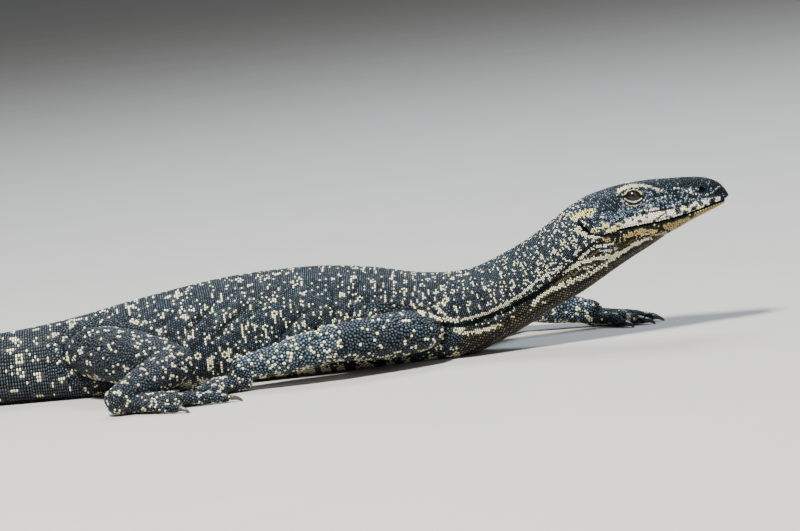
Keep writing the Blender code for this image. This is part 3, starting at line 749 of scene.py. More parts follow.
def toe_flesh(line):
    """A toe with slight pads and knuckles, rounded at its end."""
    share = np.linspace(0, 1, TOE_ROWS)
    points = np.stack([np.interp(share, TOE_SHARES, line[:, axis]) for axis in range(3)], axis=1)
    radii = np.interp(share, TOE_SHARES, TOE_RADII) - COAT_DEPTH / MM
    radii *= 1 + 0.05 * np.cos(share * 2 * np.pi * 3.5)
    radii *= np.sqrt(np.clip((1.03 - share) / 0.06, 0.05, 1))
    along, side, up = frame_along(points[0], points[-1])
    angles = 2 * np.pi * np.arange(TOE_COLUMNS) / TOE_COLUMNS
    ring = np.outer(np.cos(angles), side) + np.outer(np.sin(angles), up)
    return closed_tube("toe", resting((points[:, None, :] + ring[None] * radii[:, None, None]) * MM))


def melted(name, pieces):
    """The pieces joined by a voxel remesh, smoothed and thinned."""
    pick(pieces[0], *pieces[1:])
    bpy.ops.object.join()
    leg = bpy.context.object
    leg.name = name
    leg.data.remesh_voxel_size = VOXEL
    bpy.ops.object.voxel_remesh()
    weight = np.full(len(leg.data.vertices), 0.5)
    move_points(leg, resting(relaxed(points_of(leg), edges_of(leg), weight, 6)))
    modifier = leg.modifiers.new("thin", "DECIMATE")
    modifier.ratio = min(1.0, LEG_TRIANGLES / (2 * len(leg.data.polygons)))
    bpy.ops.object.modifier_apply(modifier=modifier.name)
    return leg


legs = []
for kind, _, word, root, bend, end, degrees, palm_up in LEGS:
    heel, ball, toes = toe_plan(kind, word, end, degrees, palm_up)
    at_root, at_bend, at_end = LEG_SIZES[kind]
    at_wrist = (WRIST_HALF_WIDTH, PALM_SIZES[kind][1] + 1)
    pieces = [flesh(root, bend, at_root, at_bend), flesh(bend, end, at_bend, at_end, 0.10)]
    pieces.append(flesh(heel, ball, at_wrist, PALM_SIZES[kind], 0.05))
    pieces += [toe_flesh(line) for line in toes]
    legs.append(melted(f"leg_{kind}_{word}", pieces))
print("legs:", [len(leg.data.polygons) for leg in legs], "triangles")

# %% [markdown]
# ## Join the legs to the body
#
# A Boolean union welds the legs to the body with a hard crease. Skin doesn't do that: it stretches across
# the armpit and the groin. So the points near the crease are found, as those that neither part had
# before, and the surface round them is relaxed until the crease is a soft hollow.

# %% Weld the legs on and soften the joins
NEW_POINT = 0.02 * MM        # a point further than this from all the old ones came with the union
MERGED_NEAR = 2.5 * MM       # short edges are merged this close to a crease
MERGED_LENGTH = 1.4 * MM
SOFT_REACH = 21 * MM
SOFT_WEIGHT = 0.7
SOFT_ROUNDS = 80

before = tree_over(np.concatenate([points_of(thing) for thing in (skin, *legs)]))
weld(skin, legs)
welded = points_of(skin)
creases = [point for point in welded if before.find(point)[2] > NEW_POINT]
crease_tree = tree_over(creases)


def from_creases(points):
    return np.array([crease_tree.find(point)[2] for point in points])


select_points(skin, from_creases(welded) < MERGED_NEAR)
bpy.ops.mesh.remove_doubles(threshold=MERGED_LENGTH)
bpy.ops.object.mode_set(mode="OBJECT")
welded = points_of(skin)
softness = SOFT_WEIGHT * (1 - soft_step(SOFT_REACH * 0.35, SOFT_REACH, from_creases(welded)))
move_points(skin, resting(relaxed(welded, edges_of(skin), softness, SOFT_ROUNDS)))
print("creases:", len(creases), "points; skin:", len(skin.data.polygons), "faces")

# %% [markdown]
# ## Lids, lips, nostrils, ears and folds
#
# The head is where a visitor looks first. Its small forms are pushed in and out of the skin along its
# own normals, each by a rule about how far a point lies from a line or an oval in the side view. The
# skin's faces are too large for a lid's edge, so the faces there are split in four, and split again close
# to the eye and the nostril.

# %% Where the head's features lie, in millimetres
EYE = (277.4, 15.1, 114.5)          # its y counts from the head's middle, to either side
EYE_RADIUS = 7.0
LID_RADIUS = 8.35
OPENING = (7.2, 3.25)               # half length and half height between the lids
EYE_SLANT = math.radians(-5)
NOSTRIL = (333.0, 113.6)
NOSTRIL_SLANT = math.radians(-20)
EAR = (236.2, 94.0)
EAR_LEAN = math.radians(40)
MOUTH = [
    (203, 62), (233, 79), (251, 88), (268, 90.5), (281, 91.3), (295, 91.9), (309, 93.8), (324, 96.6),
    (340, 100.6), (350, 102.9), (362, 103.6),
]


def refine(thing, near):
    """Splits the faces whose points all pass the test into four each."""
    select_points(thing, near(points_of(thing)))
    bpy.ops.mesh.subdivide(number_cuts=1)
    bpy.ops.object.mode_set(mode="OBJECT")


def head_view(points):
    """x, how far aside of the head's middle, and z, in millimetres."""
    return points[:, 0] / MM, np.abs(points[:, 1] - HEAD_MIDDLE) / MM, points[:, 2] / MM


def around(points, centre, reach):
    x, aside, z = head_view(points)
    return (np.hypot(x - centre[0], z - centre[1]) < reach) & (aside > 5)


def near_mouth(points, reach):
    x, aside, z = head_view(points)
    return (x > 243) & (np.abs(z - read_off(MOUTH, x)) < reach)


def near_features(points):
    eye = around(points, (EYE[0], EYE[2]), 16)
    return eye | around(points, NOSTRIL, 7) | around(points, EAR, 11) | near_mouth(points, 2.6)


refine(skin, near_features)
refine(skin, lambda points: around(points, (EYE[0], EYE[2]), 10.5) | around(points, NOSTRIL, 5))
print("skin with fine features:", len(skin.data.polygons), "faces")


# %% Measure from lids and lines
def turned(x, z, angle):
    """Side-view places turned back by an angle, so that a slanting form lies level."""
    return x * math.cos(angle) + z * math.sin(angle), z * math.cos(angle) - x * math.sin(angle)


def from_lids(x, z):
    """Distance outside the pointed oval between the lids, less than 0 inside it."""
    u, v = turned(x - EYE[0], z - EYE[2], EYE_SLANT)
    length, height = OPENING
    inside = np.clip(1 - (u / length) ** 2, 0, 1)
    edge = height * inside ** np.where(v > 0, 0.62, 0.8)
    return np.where(np.abs(u) < length, (np.abs(v) - edge) * 0.85, np.hypot(np.abs(u) - length, v))


def line_distance(x, z, line):
    """Distance from side-view places to a line of points, and how far along it the nearest place is."""
    best, share = np.full(len(x), 1e9), np.zeros(len(x))
    steps = len(line) - 1
    for number, ((x0, z0), (x1, z1)) in enumerate(zip(line, line[1:])):
        squared = (x1 - x0) ** 2 + (z1 - z0) ** 2
        along = np.clip(((x - x0) * (x1 - x0) + (z - z0) * (z1 - z0)) / squared, 0, 1)
        away = np.hypot(x - x0 - along * (x1 - x0), z - z0 - along * (z1 - z0))
        closer = away < best
        best = np.where(closer, away, best)
        share = np.where(closer, (number + along) / steps, share)
    return best, share


print("opening between the lids in mm:", [2 * half for half in OPENING])

# %% [markdown]
# ## Creases of the skin
#
# Loose skin folds where the animal bends: under the neck, round the shoulder and across the flank. Each
# crease is a line in the side view with a depth and a width. Such a list is quickly changed, and the same
# list later finds the scales deep in a fold, which are painted black as painted shade.

# %% Where the creases lie
# Line in the side view, depth and half width in millimetres, and the side: -1 for the animal's right, 1
# for its left and 0 for both.
CREASES = [
    # from the ear to the jaw, and under the fold of the neck
    ([(233, 99), (235.5, 94.3), (239.6, 90.2), (246.6, 87.4), (256, 86.4), (264, 86)], 1.6, 1.7, 0),
    ([(110, 31.5), (132, 27), (152, 31.5), (172, 37.5), (192, 46), (210, 56)], 1.5, 1.9, 0),
    # along the throat
    ([(215, 57), (230, 61), (246, 65), (262, 68.5), (276, 74)], 0.9, 1.6, 0),
    ([(196, 40), (216, 46), (236, 53), (256, 60)], 0.8, 1.7, 0),
    ([(236, 80), (247, 80.5), (260, 81), (273, 82)], 0.7, 1.4, 0),
    ([(178, 31), (200, 37), (222, 44), (244, 51)], 0.7, 1.6, 0),
    ([(140, 22), (158, 24), (176, 29), (196, 33)], 0.8, 2.0, 0),
    # across the neck
    ([(150, 62), (164, 55), (176, 48), (184, 44)], 0.7, 3.0, 0),
    ([(132, 60), (144, 52), (152, 44), (158, 37)], 0.8, 3.2, 0),
    ([(172, 71), (186, 64), (198, 57), (206, 52)], 0.6, 2.8, 0),
    # along the top of the near arm
    ([(77, 43), (88, 39), (100, 35.5), (114, 33)], 1.8, 3.0, -1),
    ([(11, 39), (18, 36), (27, 33)], 1.3, 2.8, -1),
    # across the flank, on one side each
    ([(31, 69), (33, 60), (33, 50), (35, 38)], 1.9, 2.2, -1),
    ([(56, 71), (50.5, 63), (47, 50), (44, 39)], 1.8, 2.1, -1),
    ([(-63, 38), (-52, 48), (-40, 57), (-27, 66)], 1.8, 2.2, -1),
    ([(-22, 29), (-14, 34), (3, 49), (18, 57)], 1.9, 2.2, -1),
    ([(2, 27), (10, 32), (17, 38), (25, 50)], 1.7, 2.2, -1),
    ([(-92, 38), (-82, 46), (-72, 56), (-64, 64)], 1.7, 2.2, -1),
    ([(60, 66), (58, 56), (60, 46), (66, 38)], 1.7, 2.2, 1),
    ([(34, 68), (31, 57), (33, 45), (38, 34)], 1.7, 2.2, 1),
    ([(0, 60), (-8, 48), (-12, 38), (-14, 26)], 1.6, 2.2, 1),
    ([(-40, 62), (-50, 50), (-56, 40), (-60, 28)], 1.6, 2.2, 1),
    # above the near shoulder
    ([(68, 48), (78, 48), (88, 46.5), (98, 43.5), (108, 37)], 1.5, 1.8, -1),
    # at the root of the neck
    ([(112, 58), (118, 48), (127, 40)], 0.6, 2.0, 0),
    ([(127, 64), (134, 53), (145, 44)], 0.5, 2.0, 0),
    # slack skin high on the flank
    ([(66, 76), (62, 67), (60, 56)], 1.1, 1.8, 0),
    ([(40, 74), (38, 63), (37, 52)], 0.9, 1.7, 0),
    ([(10, 64), (-4, 53), (-16, 44)], 1.2, 1.8, 0),
    ([(-10, 72), (-24, 61), (-37, 50)], 1.2, 1.8, 0),
    ([(-40, 60), (-54, 49), (-66, 40)], 0.9, 1.7, 0),
    ([(-58, 68), (-72, 57), (-85, 47)], 1.2, 1.8, 0),
    ([(-90, 62), (-102, 53), (-116, 47)], 1.0, 1.8, 0),
]
print("creases of the skin:", len(CREASES))

# %% [markdown]
# ## Pushing the small forms into the skin
#
# A lip or a nostril is a height over the side view, added along the skin's normals. The lids lie on the
# eyeball, so the skin there is drawn onto a ball a little larger than the eye, raised at the lids' edge
# and sunk between them.

# %% Draw the lids over the eyes
def over_eyes(moved, x, aside, z, side):
    """Points in millimetres, with those round each eye drawn onto its lids."""
    centres = np.tile(np.array(EYE), (len(x), 1))
    centres[:, 1] = HEAD_MIDDLE / MM + side * EYE[1]
    out = moved - centres
    reach = np.linalg.norm(out, axis=1)
    out /= reach[:, None]
    mix = np.clip(0.5 + 0.5 * (reach - LID_RADIUS) / 1.4, 0, 1)
    raised = LID_RADIUS * (1 - mix) + reach * mix + 1.4 * mix * (1 - mix)
    lids = from_lids(x, z)
    raised += 0.4 * bell(lids - 0.55, 0.5) - 0.3 * bell(lids - 2.6, 0.7)
    raised += (5.6 - raised) * soft_step(0.1, -0.8, lids)
    near = (reach < 13) & (aside > 8)
    return np.where(near[:, None], centres + out * raised[:, None], moved)


# %% Shape the rest of the skin
def shaped_skin(points, normals):
    """Points of the skin with the head's small forms and the skin's creases added, in metres."""
    x, aside, z = head_view(points)
    side = np.where(points[:, 1] > HEAD_MIDDLE, 1, -1)
    push = np.zeros(len(points))
    for line, depth, width, which in CREASES:
        away, share = line_distance(x, z, line)
        fade = np.sin(np.pi * np.clip(share, 0.02, 0.98)) ** 0.6
        here = (aside > 6) & ((which == 0) | (which == side))
        push -= here * depth * fade * (bell(away, width) - 0.35 * bell(away - 2.2 * width, width))
    lip = z - read_off(MOUTH, x)
    opened = soft_step(246, 266, x)
    push -= opened * 1.9 * bell(lip, 0.75) - opened * 0.35 * (bell(lip - 2.4, 1.3) + bell(lip + 2.2, 1.2))
    u, v = turned(x - NOSTRIL[0], z - NOSTRIL[1], NOSTRIL_SLANT)
    ring = np.hypot(u / 3.0, v / 1.9)
    push += (aside > 5) * (0.35 * bell(ring - 1.5, 0.4) - 3.0 * soft_step(1.1, 0.35, ring))
    u, v = turned(x - EAR[0], z - EAR[1], EAR_LEAN)
    ring = np.hypot(u / 1.25, v / 6.2)
    push += (aside > 8) * (0.6 * bell(ring - 1.9, 0.5) * (u > -1) - 2.6 * soft_step(1.15, 0.3, ring))
    rho = np.hypot((x - EYE[0]) / 1.15, z - EYE[2])
    rings_fade = soft_step(6.8, 8.2, rho) * soft_step(14.5, 11, rho) * (aside > 8)
    push += rings_fade * 0.30 * np.cos(2 * np.pi * (rho - 8.4) / 2.5)
    moved = points / MM + normals * push[:, None]
    return resting(over_eyes(moved, x, aside, z, side) * MM)


pick(skin)
bpy.ops.object.mode_set(mode="EDIT")
bpy.ops.mesh.select_all(action="SELECT")
bpy.ops.mesh.quads_convert_to_tris()
bpy.ops.mesh.normals_make_consistent(inside=False)
bpy.ops.object.mode_set(mode="OBJECT")
move_points(skin, shaped_skin(points_of(skin), normals_of(skin)))
skin.data.materials.clear()
skin.data.shade_smooth()
print("finished skin:", len(skin.data.polygons), "triangles")

# %% [markdown]
# ## Where each scale grows
#
# A monitor's scales don't overlap: they are small beads set side by side. Round the tail, body and neck
# they stand in rows across the animal, and on the head and legs they are packed without rows, finest
# round the eyes. Both kinds are places on the finished skin, so it is read once, with a tree of its faces
# that finds the nearest place quickly.

# %% Read the finished skin
rng = np.random.default_rng(27)
skin_points = points_of(skin)
skin_normals = normals_of(skin)
skin_triangles = corners_of(skin).reshape(-1, 3)
skin_tree = BVHTree.FromPolygons(skin_points.tolist(), skin_triangles.tolist())
tube_faces = grid_faces(len(skin_t), SKIN_COLUMNS)
tube_tree = BVHTree.FromPolygons(skin_rings.reshape(-1, 3).tolist(), tube_faces.tolist())
print("triangles to find places on:", len(skin_triangles))


# %% Find the nearest places
def nearest_in(tree, points):
    """The nearest places on a tree's surface, the numbers of their faces, and how far away they are."""
    places, _, faces, away = zip(*(tree.find_nearest(point) for point in points))
    return np.array(places), np.array(faces), np.array(away)


def on_skin(points):
    """The nearest places on the skin, their smooth normals, and how far away each was."""
    places, faces, away = nearest_in(skin_tree, points)
    normals = skin_normals[skin_triangles[faces]].mean(axis=1)
    return places, normals / np.linalg.norm(normals, axis=1)[:, None], away


def on_tube(points):
    """Station number, angle from the back, and distance from the plain tube of the body."""
    _, faces, away = nearest_in(tube_tree, points)
    row, column = np.divmod(faces, SKIN_COLUMNS)
    return skin_t[row], (column + 0.5) * 2 * np.pi / SKIN_COLUMNS, away


# %% [markdown]
# ## Scales in rows
#
# The number of scales in a row stays the same until it no longer fits, as on the animal, so neighbouring
# rows keep in step. The plates underneath are wider, and every other row of the trunk is set off by half
# a scale.

# %% Rows of scales round the tail, body and neck
# Station number, and the distance between rows or the width of a scale there, in millimetres.
SCALE_ROWS = [
    (0, 4.2), (4, 3.4), (9, 2.4), (TAIL_ROOT, 2.0), (BELLY, 1.80), (SHOULDERS, 1.66),
    (NECK_ROOT, 1.42), (NAPE + 1, 1.28),
]
SCALE_WIDTHS = [
    (0, 3.4), (4, 3.6), (9, 3.4), (TAIL_ROOT, 2.8), (BELLY, 1.85), (SHOULDERS, 1.7),
    (NECK_ROOT, 1.4), (NAPE + 1, 1.25),
]
BELLY_WIDTH = 4.2           # of the plates underneath, round the body, in millimetres
BELLY_FROM, BELLY_TO = math.radians(118), math.radians(140)     # from the back, where they widen
ROW_COUNT_STEP = 0.07       # the number of scales in a row stays the same until it is this far out
SET_OFF_FROM = TAIL_ROOT + 1.8    # station from which every other row is set off by half a scale
HEAD_START = NAPE + 0.75    # station where the rows end and the head's scales begin
BURIED = 2.3 * MM           # a place this far from the skin lies inside a leg

row_t = rows_between(0.02, HEAD_START, SCALE_ROWS)
fine_angles = 2 * np.pi * np.arange(361) / 360
fine_rings = resting(rounded_tip(body_rings(row_t, fine_angles, -COAT_DEPTH), row_t))
under = soft_step(BELLY_FROM, BELLY_TO, np.abs((fine_angles + np.pi) % (2 * np.pi) - np.pi))
row_points, kept_count = [], 0
for number, (t, ring) in enumerate(zip(row_t, fine_rings)):
    width = read_off(SCALE_WIDTHS, t)
    widths = (width + (max(BELLY_WIDTH, width) - width) * np.sin(under * np.pi / 2)) * MM
    lengths = np.linalg.norm(np.diff(ring, axis=0), axis=1)
    count = running_total(lengths / widths[:-1])
    wanted = count[-1]
    if kept_count == 0 or abs(wanted / kept_count - 1) > ROW_COUNT_STEP:
        kept_count = max(5, round(wanted))
    shift = 0.5 * (number % 2) if t > SET_OFF_FROM else 0.0
    places = (np.arange(kept_count) + shift + 0.25) % kept_count / kept_count * wanted
    row_points.append(np.stack([np.interp(places, count, ring[:, axis]) for axis in range(3)], axis=1))
row_places, row_normals, away = on_skin(np.concatenate(row_points))
keep = away < BURIED
row_places, row_normals = row_places[keep], row_normals[keep]
print(len(row_t), "rows of scales:", len(row_places), "scales")

# %% [markdown]
# ## Scales of the lids and lips
#
# Lips and lids are edged with one neat row of scales, which no scattering would give. Rays cast from the
# side find where the lines that shaped them meet the skin.

# %% Scales along the lids and lips
LIP_STEP, LID_STEP = 2.3, 0.95      # millimetres from one scale to the next
LIP_AWAY, LID_AWAY = 1.5, 0.5       # how far the rows lie from the mouth's line and the lids' edge
SIDE_START = 0.2                    # rays start this far aside, in metres


def cast_sideways(x, z, side):
    """The skin's outermost place at a spot of the side view, on one side, or None."""
    start = Vector((x * MM, HEAD_MIDDLE + side * SIDE_START, z * MM))
    return skin_tree.ray_cast(start, Vector((0, -side, 0)))[0]


def line_places(line, step, side):
    """Places a step apart along a side-view line, on the skin."""
    line = np.array(line, float)
    length = running_total(np.linalg.norm(np.diff(line, axis=0), axis=1))
    at = np.linspace(0, length[-1], max(2, round(length[-1] / step)) + 1)
    at_x, at_z = np.interp(at, length, line[:, 0]), np.interp(at, length, line[:, 1])
    found = [cast_sideways(x, z, side) for x, z in zip(at_x, at_z)]
    return [tuple(place) for place in found if place is not None]


lip_x = np.arange(258, 351, 1.0)
lip_z = read_off(MOUTH, lip_x)
rim_angle = np.linspace(0, 2 * np.pi, 60)
rim_u = (OPENING[0] + LID_AWAY) * np.cos(rim_angle)
rim_v = (OPENING[1] + LID_AWAY) * np.sign(np.sin(rim_angle)) * np.abs(np.sin(rim_angle)) ** 1.24
rim_x, rim_z = turned(rim_u, rim_v, -EYE_SLANT)
fixed_places, fixed_reach = [], []
for side in (1, -1):
    for line, step in (
        (np.stack([lip_x, lip_z + LIP_AWAY], axis=1), LIP_STEP),
        (np.stack([lip_x, lip_z - LIP_AWAY], axis=1), LIP_STEP),
        (np.stack([rim_x + EYE[0], rim_z + EYE[2]], axis=1)[:-1], LID_STEP),
    ):
        found = line_places(line, step, side)
        fixed_places += found
        fixed_reach += [step * 0.8] * len(found)
print("scales along lids and lips:", len(fixed_places))

# %% [markdown]
# ## Packed scales of the head and legs
#
# Scattering places at random, and dropping those too close to one that is kept, gives an even cover with
# no rows in it. A triangle of the skin gets draws by its area and by how small the scales are there.

# %% Draw places on the head and legs
HEAD_SCALE, EYE_SCALE = 1.34, 0.80      # distances in millimetres
LEG_SCALE, THIGH_SCALE, FOOT_SCALE = 2.3, 1.95, 1.7
FOOT_TOP = 17 * MM          # below this a leg's scales are those of a foot
CANDIDATES = 5.0            # drawn for each place wanted
CLOSEST = 0.86              # share of the wanted distance that two places may stand apart
LEG_CLEAR = 1.2 * MM        # skin this far from the body's tube belongs to a leg
HEAD_CLEAR = 8 * MM         # skin this far from it isn't the head's
FAR_CLEAR = 12 * MM


def wanted_distance(points, t, off):
    """How far apart scales stand, in millimetres."""
    x, aside, z = head_view(points)
    head = np.where(x > 300, HEAD_SCALE * 1.05, HEAD_SCALE)
    rho = np.hypot((x - EYE[0]) / 1.1, z - EYE[2])
    head = np.where(aside > 8, EYE_SCALE + (head - EYE_SCALE) * soft_step(6, 15, rho), head)
    foot = points[:, 2] < FOOT_TOP
    leg = np.where(x < -60, THIGH_SCALE, LEG_SCALE)
    return np.where((t > HEAD_START - 0.2) & (off < HEAD_CLEAR), head, np.where(foot, FOOT_SCALE, leg))


corner_points = skin_points[skin_triangles]
face_middles = corner_points.mean(axis=1)
face_t, _, face_off = on_tube(face_middles)
packed = (face_off > LEG_CLEAR) & (face_t < NAPE) | (face_t > HEAD_START - 0.1) | (face_off > FAR_CLEAR)
face_wanted = wanted_distance(face_middles, face_t, face_off)
face_sides = corner_points[:, 1:] - corner_points[:, :1]
face_areas = np.linalg.norm(np.cross(face_sides[:, 0], face_sides[:, 1]), axis=1) / 2
draws = np.where(packed, CANDIDATES * face_areas / (0.8 * (face_wanted * MM) ** 2), 0)
total_draws = int(draws.sum())
drawn = rng.choice(len(draws), total_draws, p=draws / draws.sum())
share = rng.random((total_draws, 2))
flip = share.sum(axis=1) > 1
share[flip] = 1 - share[flip]
a, b, c = (corner_points[drawn, k] for k in range(3))
candidates = a + (b - a) * share[:, :1] + (c - a) * share[:, 1:]
print(total_draws, "places drawn")


# %% Keep those that have room
def in_openings(points):
    """Whether places lie in an eye, a nostril, an ear or the slit of the mouth."""
    x, aside, z = head_view(points)
    inside = (from_lids(x, z) < 0.1) & (aside > 8)
    inside |= (np.hypot(x - NOSTRIL[0], z - NOSTRIL[1]) < 2.4) & (aside > 5)
    u, v = turned(x - EAR[0], z - EAR[1], EAR_LEAN)
    inside |= (np.hypot(u / 1.6, v / 7.0) < 1) & (aside > 8) & (aside < 40)
    return inside | (x > 262) & (np.abs(z - read_off(MOUTH, x)) < 0.6)


clear = ~in_openings(candidates)
candidates = candidates[clear]
reach = face_wanted[drawn][clear] * CLOSEST
candidates = np.concatenate([np.array(fixed_places), candidates])
reach = np.concatenate([fixed_reach, reach]) * MM
tree = tree_over(candidates)
open_places = np.ones(len(candidates), bool)
chosen = []
for number in range(len(candidates)):
    if open_places[number]:
        chosen.append(number)
        for _, other, _ in tree.find_range(candidates[number], reach[number]):
            open_places[other] = False
fixed_count = int((np.array(chosen) < len(fixed_places)).sum())
packed_points, packed_reach = candidates[chosen], reach[chosen] / CLOSEST
print(len(candidates), "drawn,", len(chosen), "kept")

# %% [markdown]
# ## Even them out
#
# For a few rounds each place is pushed off by its nearest neighbours and put back onto the skin, which
# closes gaps and opens tight spots. A row then gives way where it meets packed scales.

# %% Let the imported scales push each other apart
PUSH_ROUNDS = 4
PUSH_NEIGHBOURS = 6
PUSH_REACH = 1.12           # of the wanted distance, within which places push
PUSH_SHARE = 0.35
for _ in range(PUSH_ROUNDS):
    tree = tree_over(packed_points)
    found = [tree.find_n(point, PUSH_NEIGHBOURS + 1) for point in packed_points]
    near = np.array([[entry[1] for entry in row] for row in found])[:, 1:]
    apart = packed_points[:, None, :] - packed_points[near]
    distance = np.linalg.norm(apart, axis=2) + 1e-9
    strength = np.clip(PUSH_REACH * packed_reach[:, None] - distance, 0, None) * PUSH_SHARE
    push = (apart / distance[:, :, None] * strength[:, :, None]).sum(axis=1)
    push[:fixed_count] = 0
    packed_points, packed_normals, _ = on_skin(packed_points + push)
print("last push in mm, at most:", round(float(np.abs(push).max()) / MM, 2))

# %% Bring all the scales together
ROW_CLEAR = 1.35 * MM       # a scale of a row closer than this to a packed one is dropped
clear = ~in_openings(packed_points)
clear[:fixed_count] = True
packed_points, packed_normals = packed_points[clear], packed_normals[clear]
tree = tree_over(packed_points)
clear = np.array([tree.find(point)[2] for point in row_places])
row_keep = (clear > ROW_CLEAR) & ~in_openings(row_places)
scale_points = np.concatenate([row_places[row_keep], packed_points])
scale_normals = np.concatenate([row_normals[row_keep], packed_normals])
in_rows = np.arange(len(scale_points)) < row_keep.sum()
scale_t, scale_angle, scale_off = on_tube(scale_points)
print(len(scale_points), "scales in all")

# %% [markdown]
# ## Which way the scales lie
#
# Marks on a lizard follow its body: dashes run round it, bands cross a leg. So each scale needs to know
# which way is along. On the body that is the way to the snout, and on a leg the way to the toes.

# %% Directions along the body and legs
leg_lines = []
for kind, _, word, *joints, degrees, palm_up in LEGS:
    root, bend, end = np.array(joints, float)
    heel, ball, toes = toe_plan(kind, word, end, degrees, palm_up)
    leg_lines += [(root, bend), (bend, end), (end, ball)]
    leg_lines += [ends for line in toes for ends in zip(line, line[1:])]


def nearest_leg_line(points):
    """The number of the nearest leg line for each point, given in metres."""
    best, found = np.full(len(points), 1e9), np.zeros(len(points), int)
    for number, (start, end) in enumerate(leg_lines):
        along = end - start
        share = np.clip((points / MM - start) @ along / (along @ along), 0, 1)
        away = np.linalg.norm(points / MM - start - share[:, None] * along, axis=1)
        closer = away < best
        best, found = np.where(closer, away, best), np.where(closer, number, found)
    return found


on_head = ~in_rows & (scale_t > HEAD_START - 0.5) & (scale_off < HEAD_CLEAR)
on_leg = ~in_rows & ~on_head
ahead = along_stations(np.minimum(scale_t + 0.1, SNOUT_TIP))
behind = along_stations(np.maximum(scale_t - 0.1, 0))
along = ahead[:, :3] - behind[:, :3]
along[:, 2] = (ahead[:, 3:5] - behind[:, 3:5]).mean(axis=1)
leg_number = np.zeros(len(scale_points), int)
leg_number[on_leg] = nearest_leg_line(scale_points[on_leg])
leg_ways = np.array([end - start for start, end in leg_lines])
along[on_leg] = leg_ways[leg_number[on_leg]]
along -= scale_normals * (along * scale_normals).sum(axis=1)[:, None]
along /= np.linalg.norm(along, axis=1)[:, None]
across = np.cross(scale_normals, along)
print("scales on the head:", int(on_head.sum()), "and on the legs:", int(on_leg.sum()))

# %% [markdown]
# ## The outline of each scale
#
# Neighbouring scales share the room between them fairly, so the border of a scale lies half way to each
# neighbour. Its outline is found in six directions, those between its six nearest neighbours, and drawn
# in a little to leave the dark seam that shows between real scales.

# %% Find the outlines
NEIGHBOURS = 14
SIDES = 6
WIDEST_ROOM = 4.6 * MM
LONGEST_REACH = 0.78        # of the room, from a scale's middle to a corner of its outline
HEAD_REACH = 0.68           # of the head's usual distance, for its scales
scale_tree = tree_over(scale_points)
found = [scale_tree.find_n(point, NEIGHBOURS + 1) for point in scale_points]
near = np.array([[entry[1] for entry in row] for row in found])[:, 1:]
offset = scale_points[near] - scale_points[:, None, :]
flat_u = (offset * along[:, None, :]).sum(axis=2)
flat_v = (offset * across[:, None, :]).sum(axis=2)
distance = np.hypot(flat_u, flat_v)
facing = (scale_normals[near] * scale_normals[:, None, :]).sum(axis=2)
distance = np.where(facing < -0.2, 1.0, distance)
scale_room = np.array([[entry[2] for entry in row[1:SIDES + 1]] for row in found]).mean(axis=1)
scale_room = np.minimum(scale_room, WIDEST_ROOM)
bearing = np.sort(np.arctan2(flat_v, flat_u)[:, :SIDES], axis=1)
following = np.roll(bearing, -1, axis=1)
following[:, -1] += 2 * np.pi
outline_angle = (bearing + following) / 2
ways = np.stack([np.cos(outline_angle), np.sin(outline_angle)], axis=2)
forwards = ways[:, :, :1] * flat_u[:, None, :] + ways[:, :, 1:] * flat_v[:, None, :]
with np.errstate(divide="ignore"):
    border = np.where(forwards > 1e-6, distance[:, None, :] ** 2 / 2 / np.maximum(forwards, 1e-6), 1.0)
outline_reach = np.minimum(border.min(axis=2), LONGEST_REACH * scale_room[:, None])
outline_reach[on_head] = np.minimum(outline_reach[on_head], HEAD_SCALE * HEAD_REACH * MM)
print("median room of a scale in mm:", round(float(np.median(scale_room)) / MM, 2))

# %% [markdown]
# ## Markings
#
# A lace monitor is blue-black, and its lace is made of single pale scales: dashes, rosettes, bands and
# bars. Each mark is set by place or by rule, and the scales that it covers take its colour. First come
# the colours themselves, and the dark ground, which differs from scale to scale.

# %% Colours of the scales
BLACK = (0.003, 0.004, 0.005)
DARK = (0.0125, 0.0165, 0.0220)
CREAM = (0.92, 0.90, 0.60)
YELLOW = (0.86, 0.78, 0.32)
WHITE = (0.92, 0.93, 0.80)
PALE = (0.17, 0.225, 0.29)
# partly the animal's own blue-black, partly a painted sheen of glossy scales
BLUE_AND_SHEEN = (0.036, 0.050, 0.070)
TAN = (0.46, 0.34, 0.13)
BROWN = (0.070, 0.052, 0.023)
TAIL_GROUND = (0.022, 0.0265, 0.032)
NECK_GROUND = (0.026, 0.036, 0.050)
LEG_GROUND = (0.022, 0.027, 0.034)
ARM_GROUND = (0.024, 0.034, 0.046)
# the forearm's blue: partly its own colour, partly a painted sheen of its glossy scales
FOREARM_BLUE_AND_SHEEN = (0.056, 0.082, 0.110)
LEG_CREAM = (0.66, 0.64, 0.46)
BELLY_PALE = (0.62, 0.58, 0.38)
THROAT_GREY = (0.56, 0.62, 0.60)
CHIN_STREAK = (0.62, 0.50, 0.34)
CROWN_GREY = (0.046, 0.061, 0.084)
CHEEK_GREY = (0.060, 0.084, 0.114)
LIP_ROSE = (0.80, 0.72, 0.68)
BROW_PALE = (0.62, 0.58, 0.42)
UPPER_LID = (0.90, 0.84, 0.52)
LOWER_LID = (0.62, 0.55, 0.46)
OUTER_LID = (0.52, 0.48, 0.42)
UNEVEN_DARK = 0.6           # how much the dark ground differs from scale to scale

tint = np.tile(np.array(DARK), (len(scale_points), 1))
tint *= np.exp(rng.normal(0, UNEVEN_DARK, len(tint)))[:, None]
scale_x, scale_aside, scale_z = head_view(scale_points)
scale_side = np.where(scale_points[:, 1] > HEAD_MIDDLE, 1, -1)
scale_length = length_at(scale_t) / MM
fold_z = read_off(NECK_FOLD / MM, scale_x)
print(len(tint), "scales in the dark colour")

# %% [markdown]
# ## Tools for marks
#
# There are four kinds of mark: a share of a region's scales, an oval or ring about one scale, ovals spread
# over a region, and a stroke along a line. A mark takes whole scales, which gives the crisp, beaded look.

# %% Rules that colour scales
MARK_REACH = 1.3            # of its half length, within which scales may belong to a mark


def chance(share):
    """Picks each scale with these odds."""
    return rng.random(len(tint)) < share


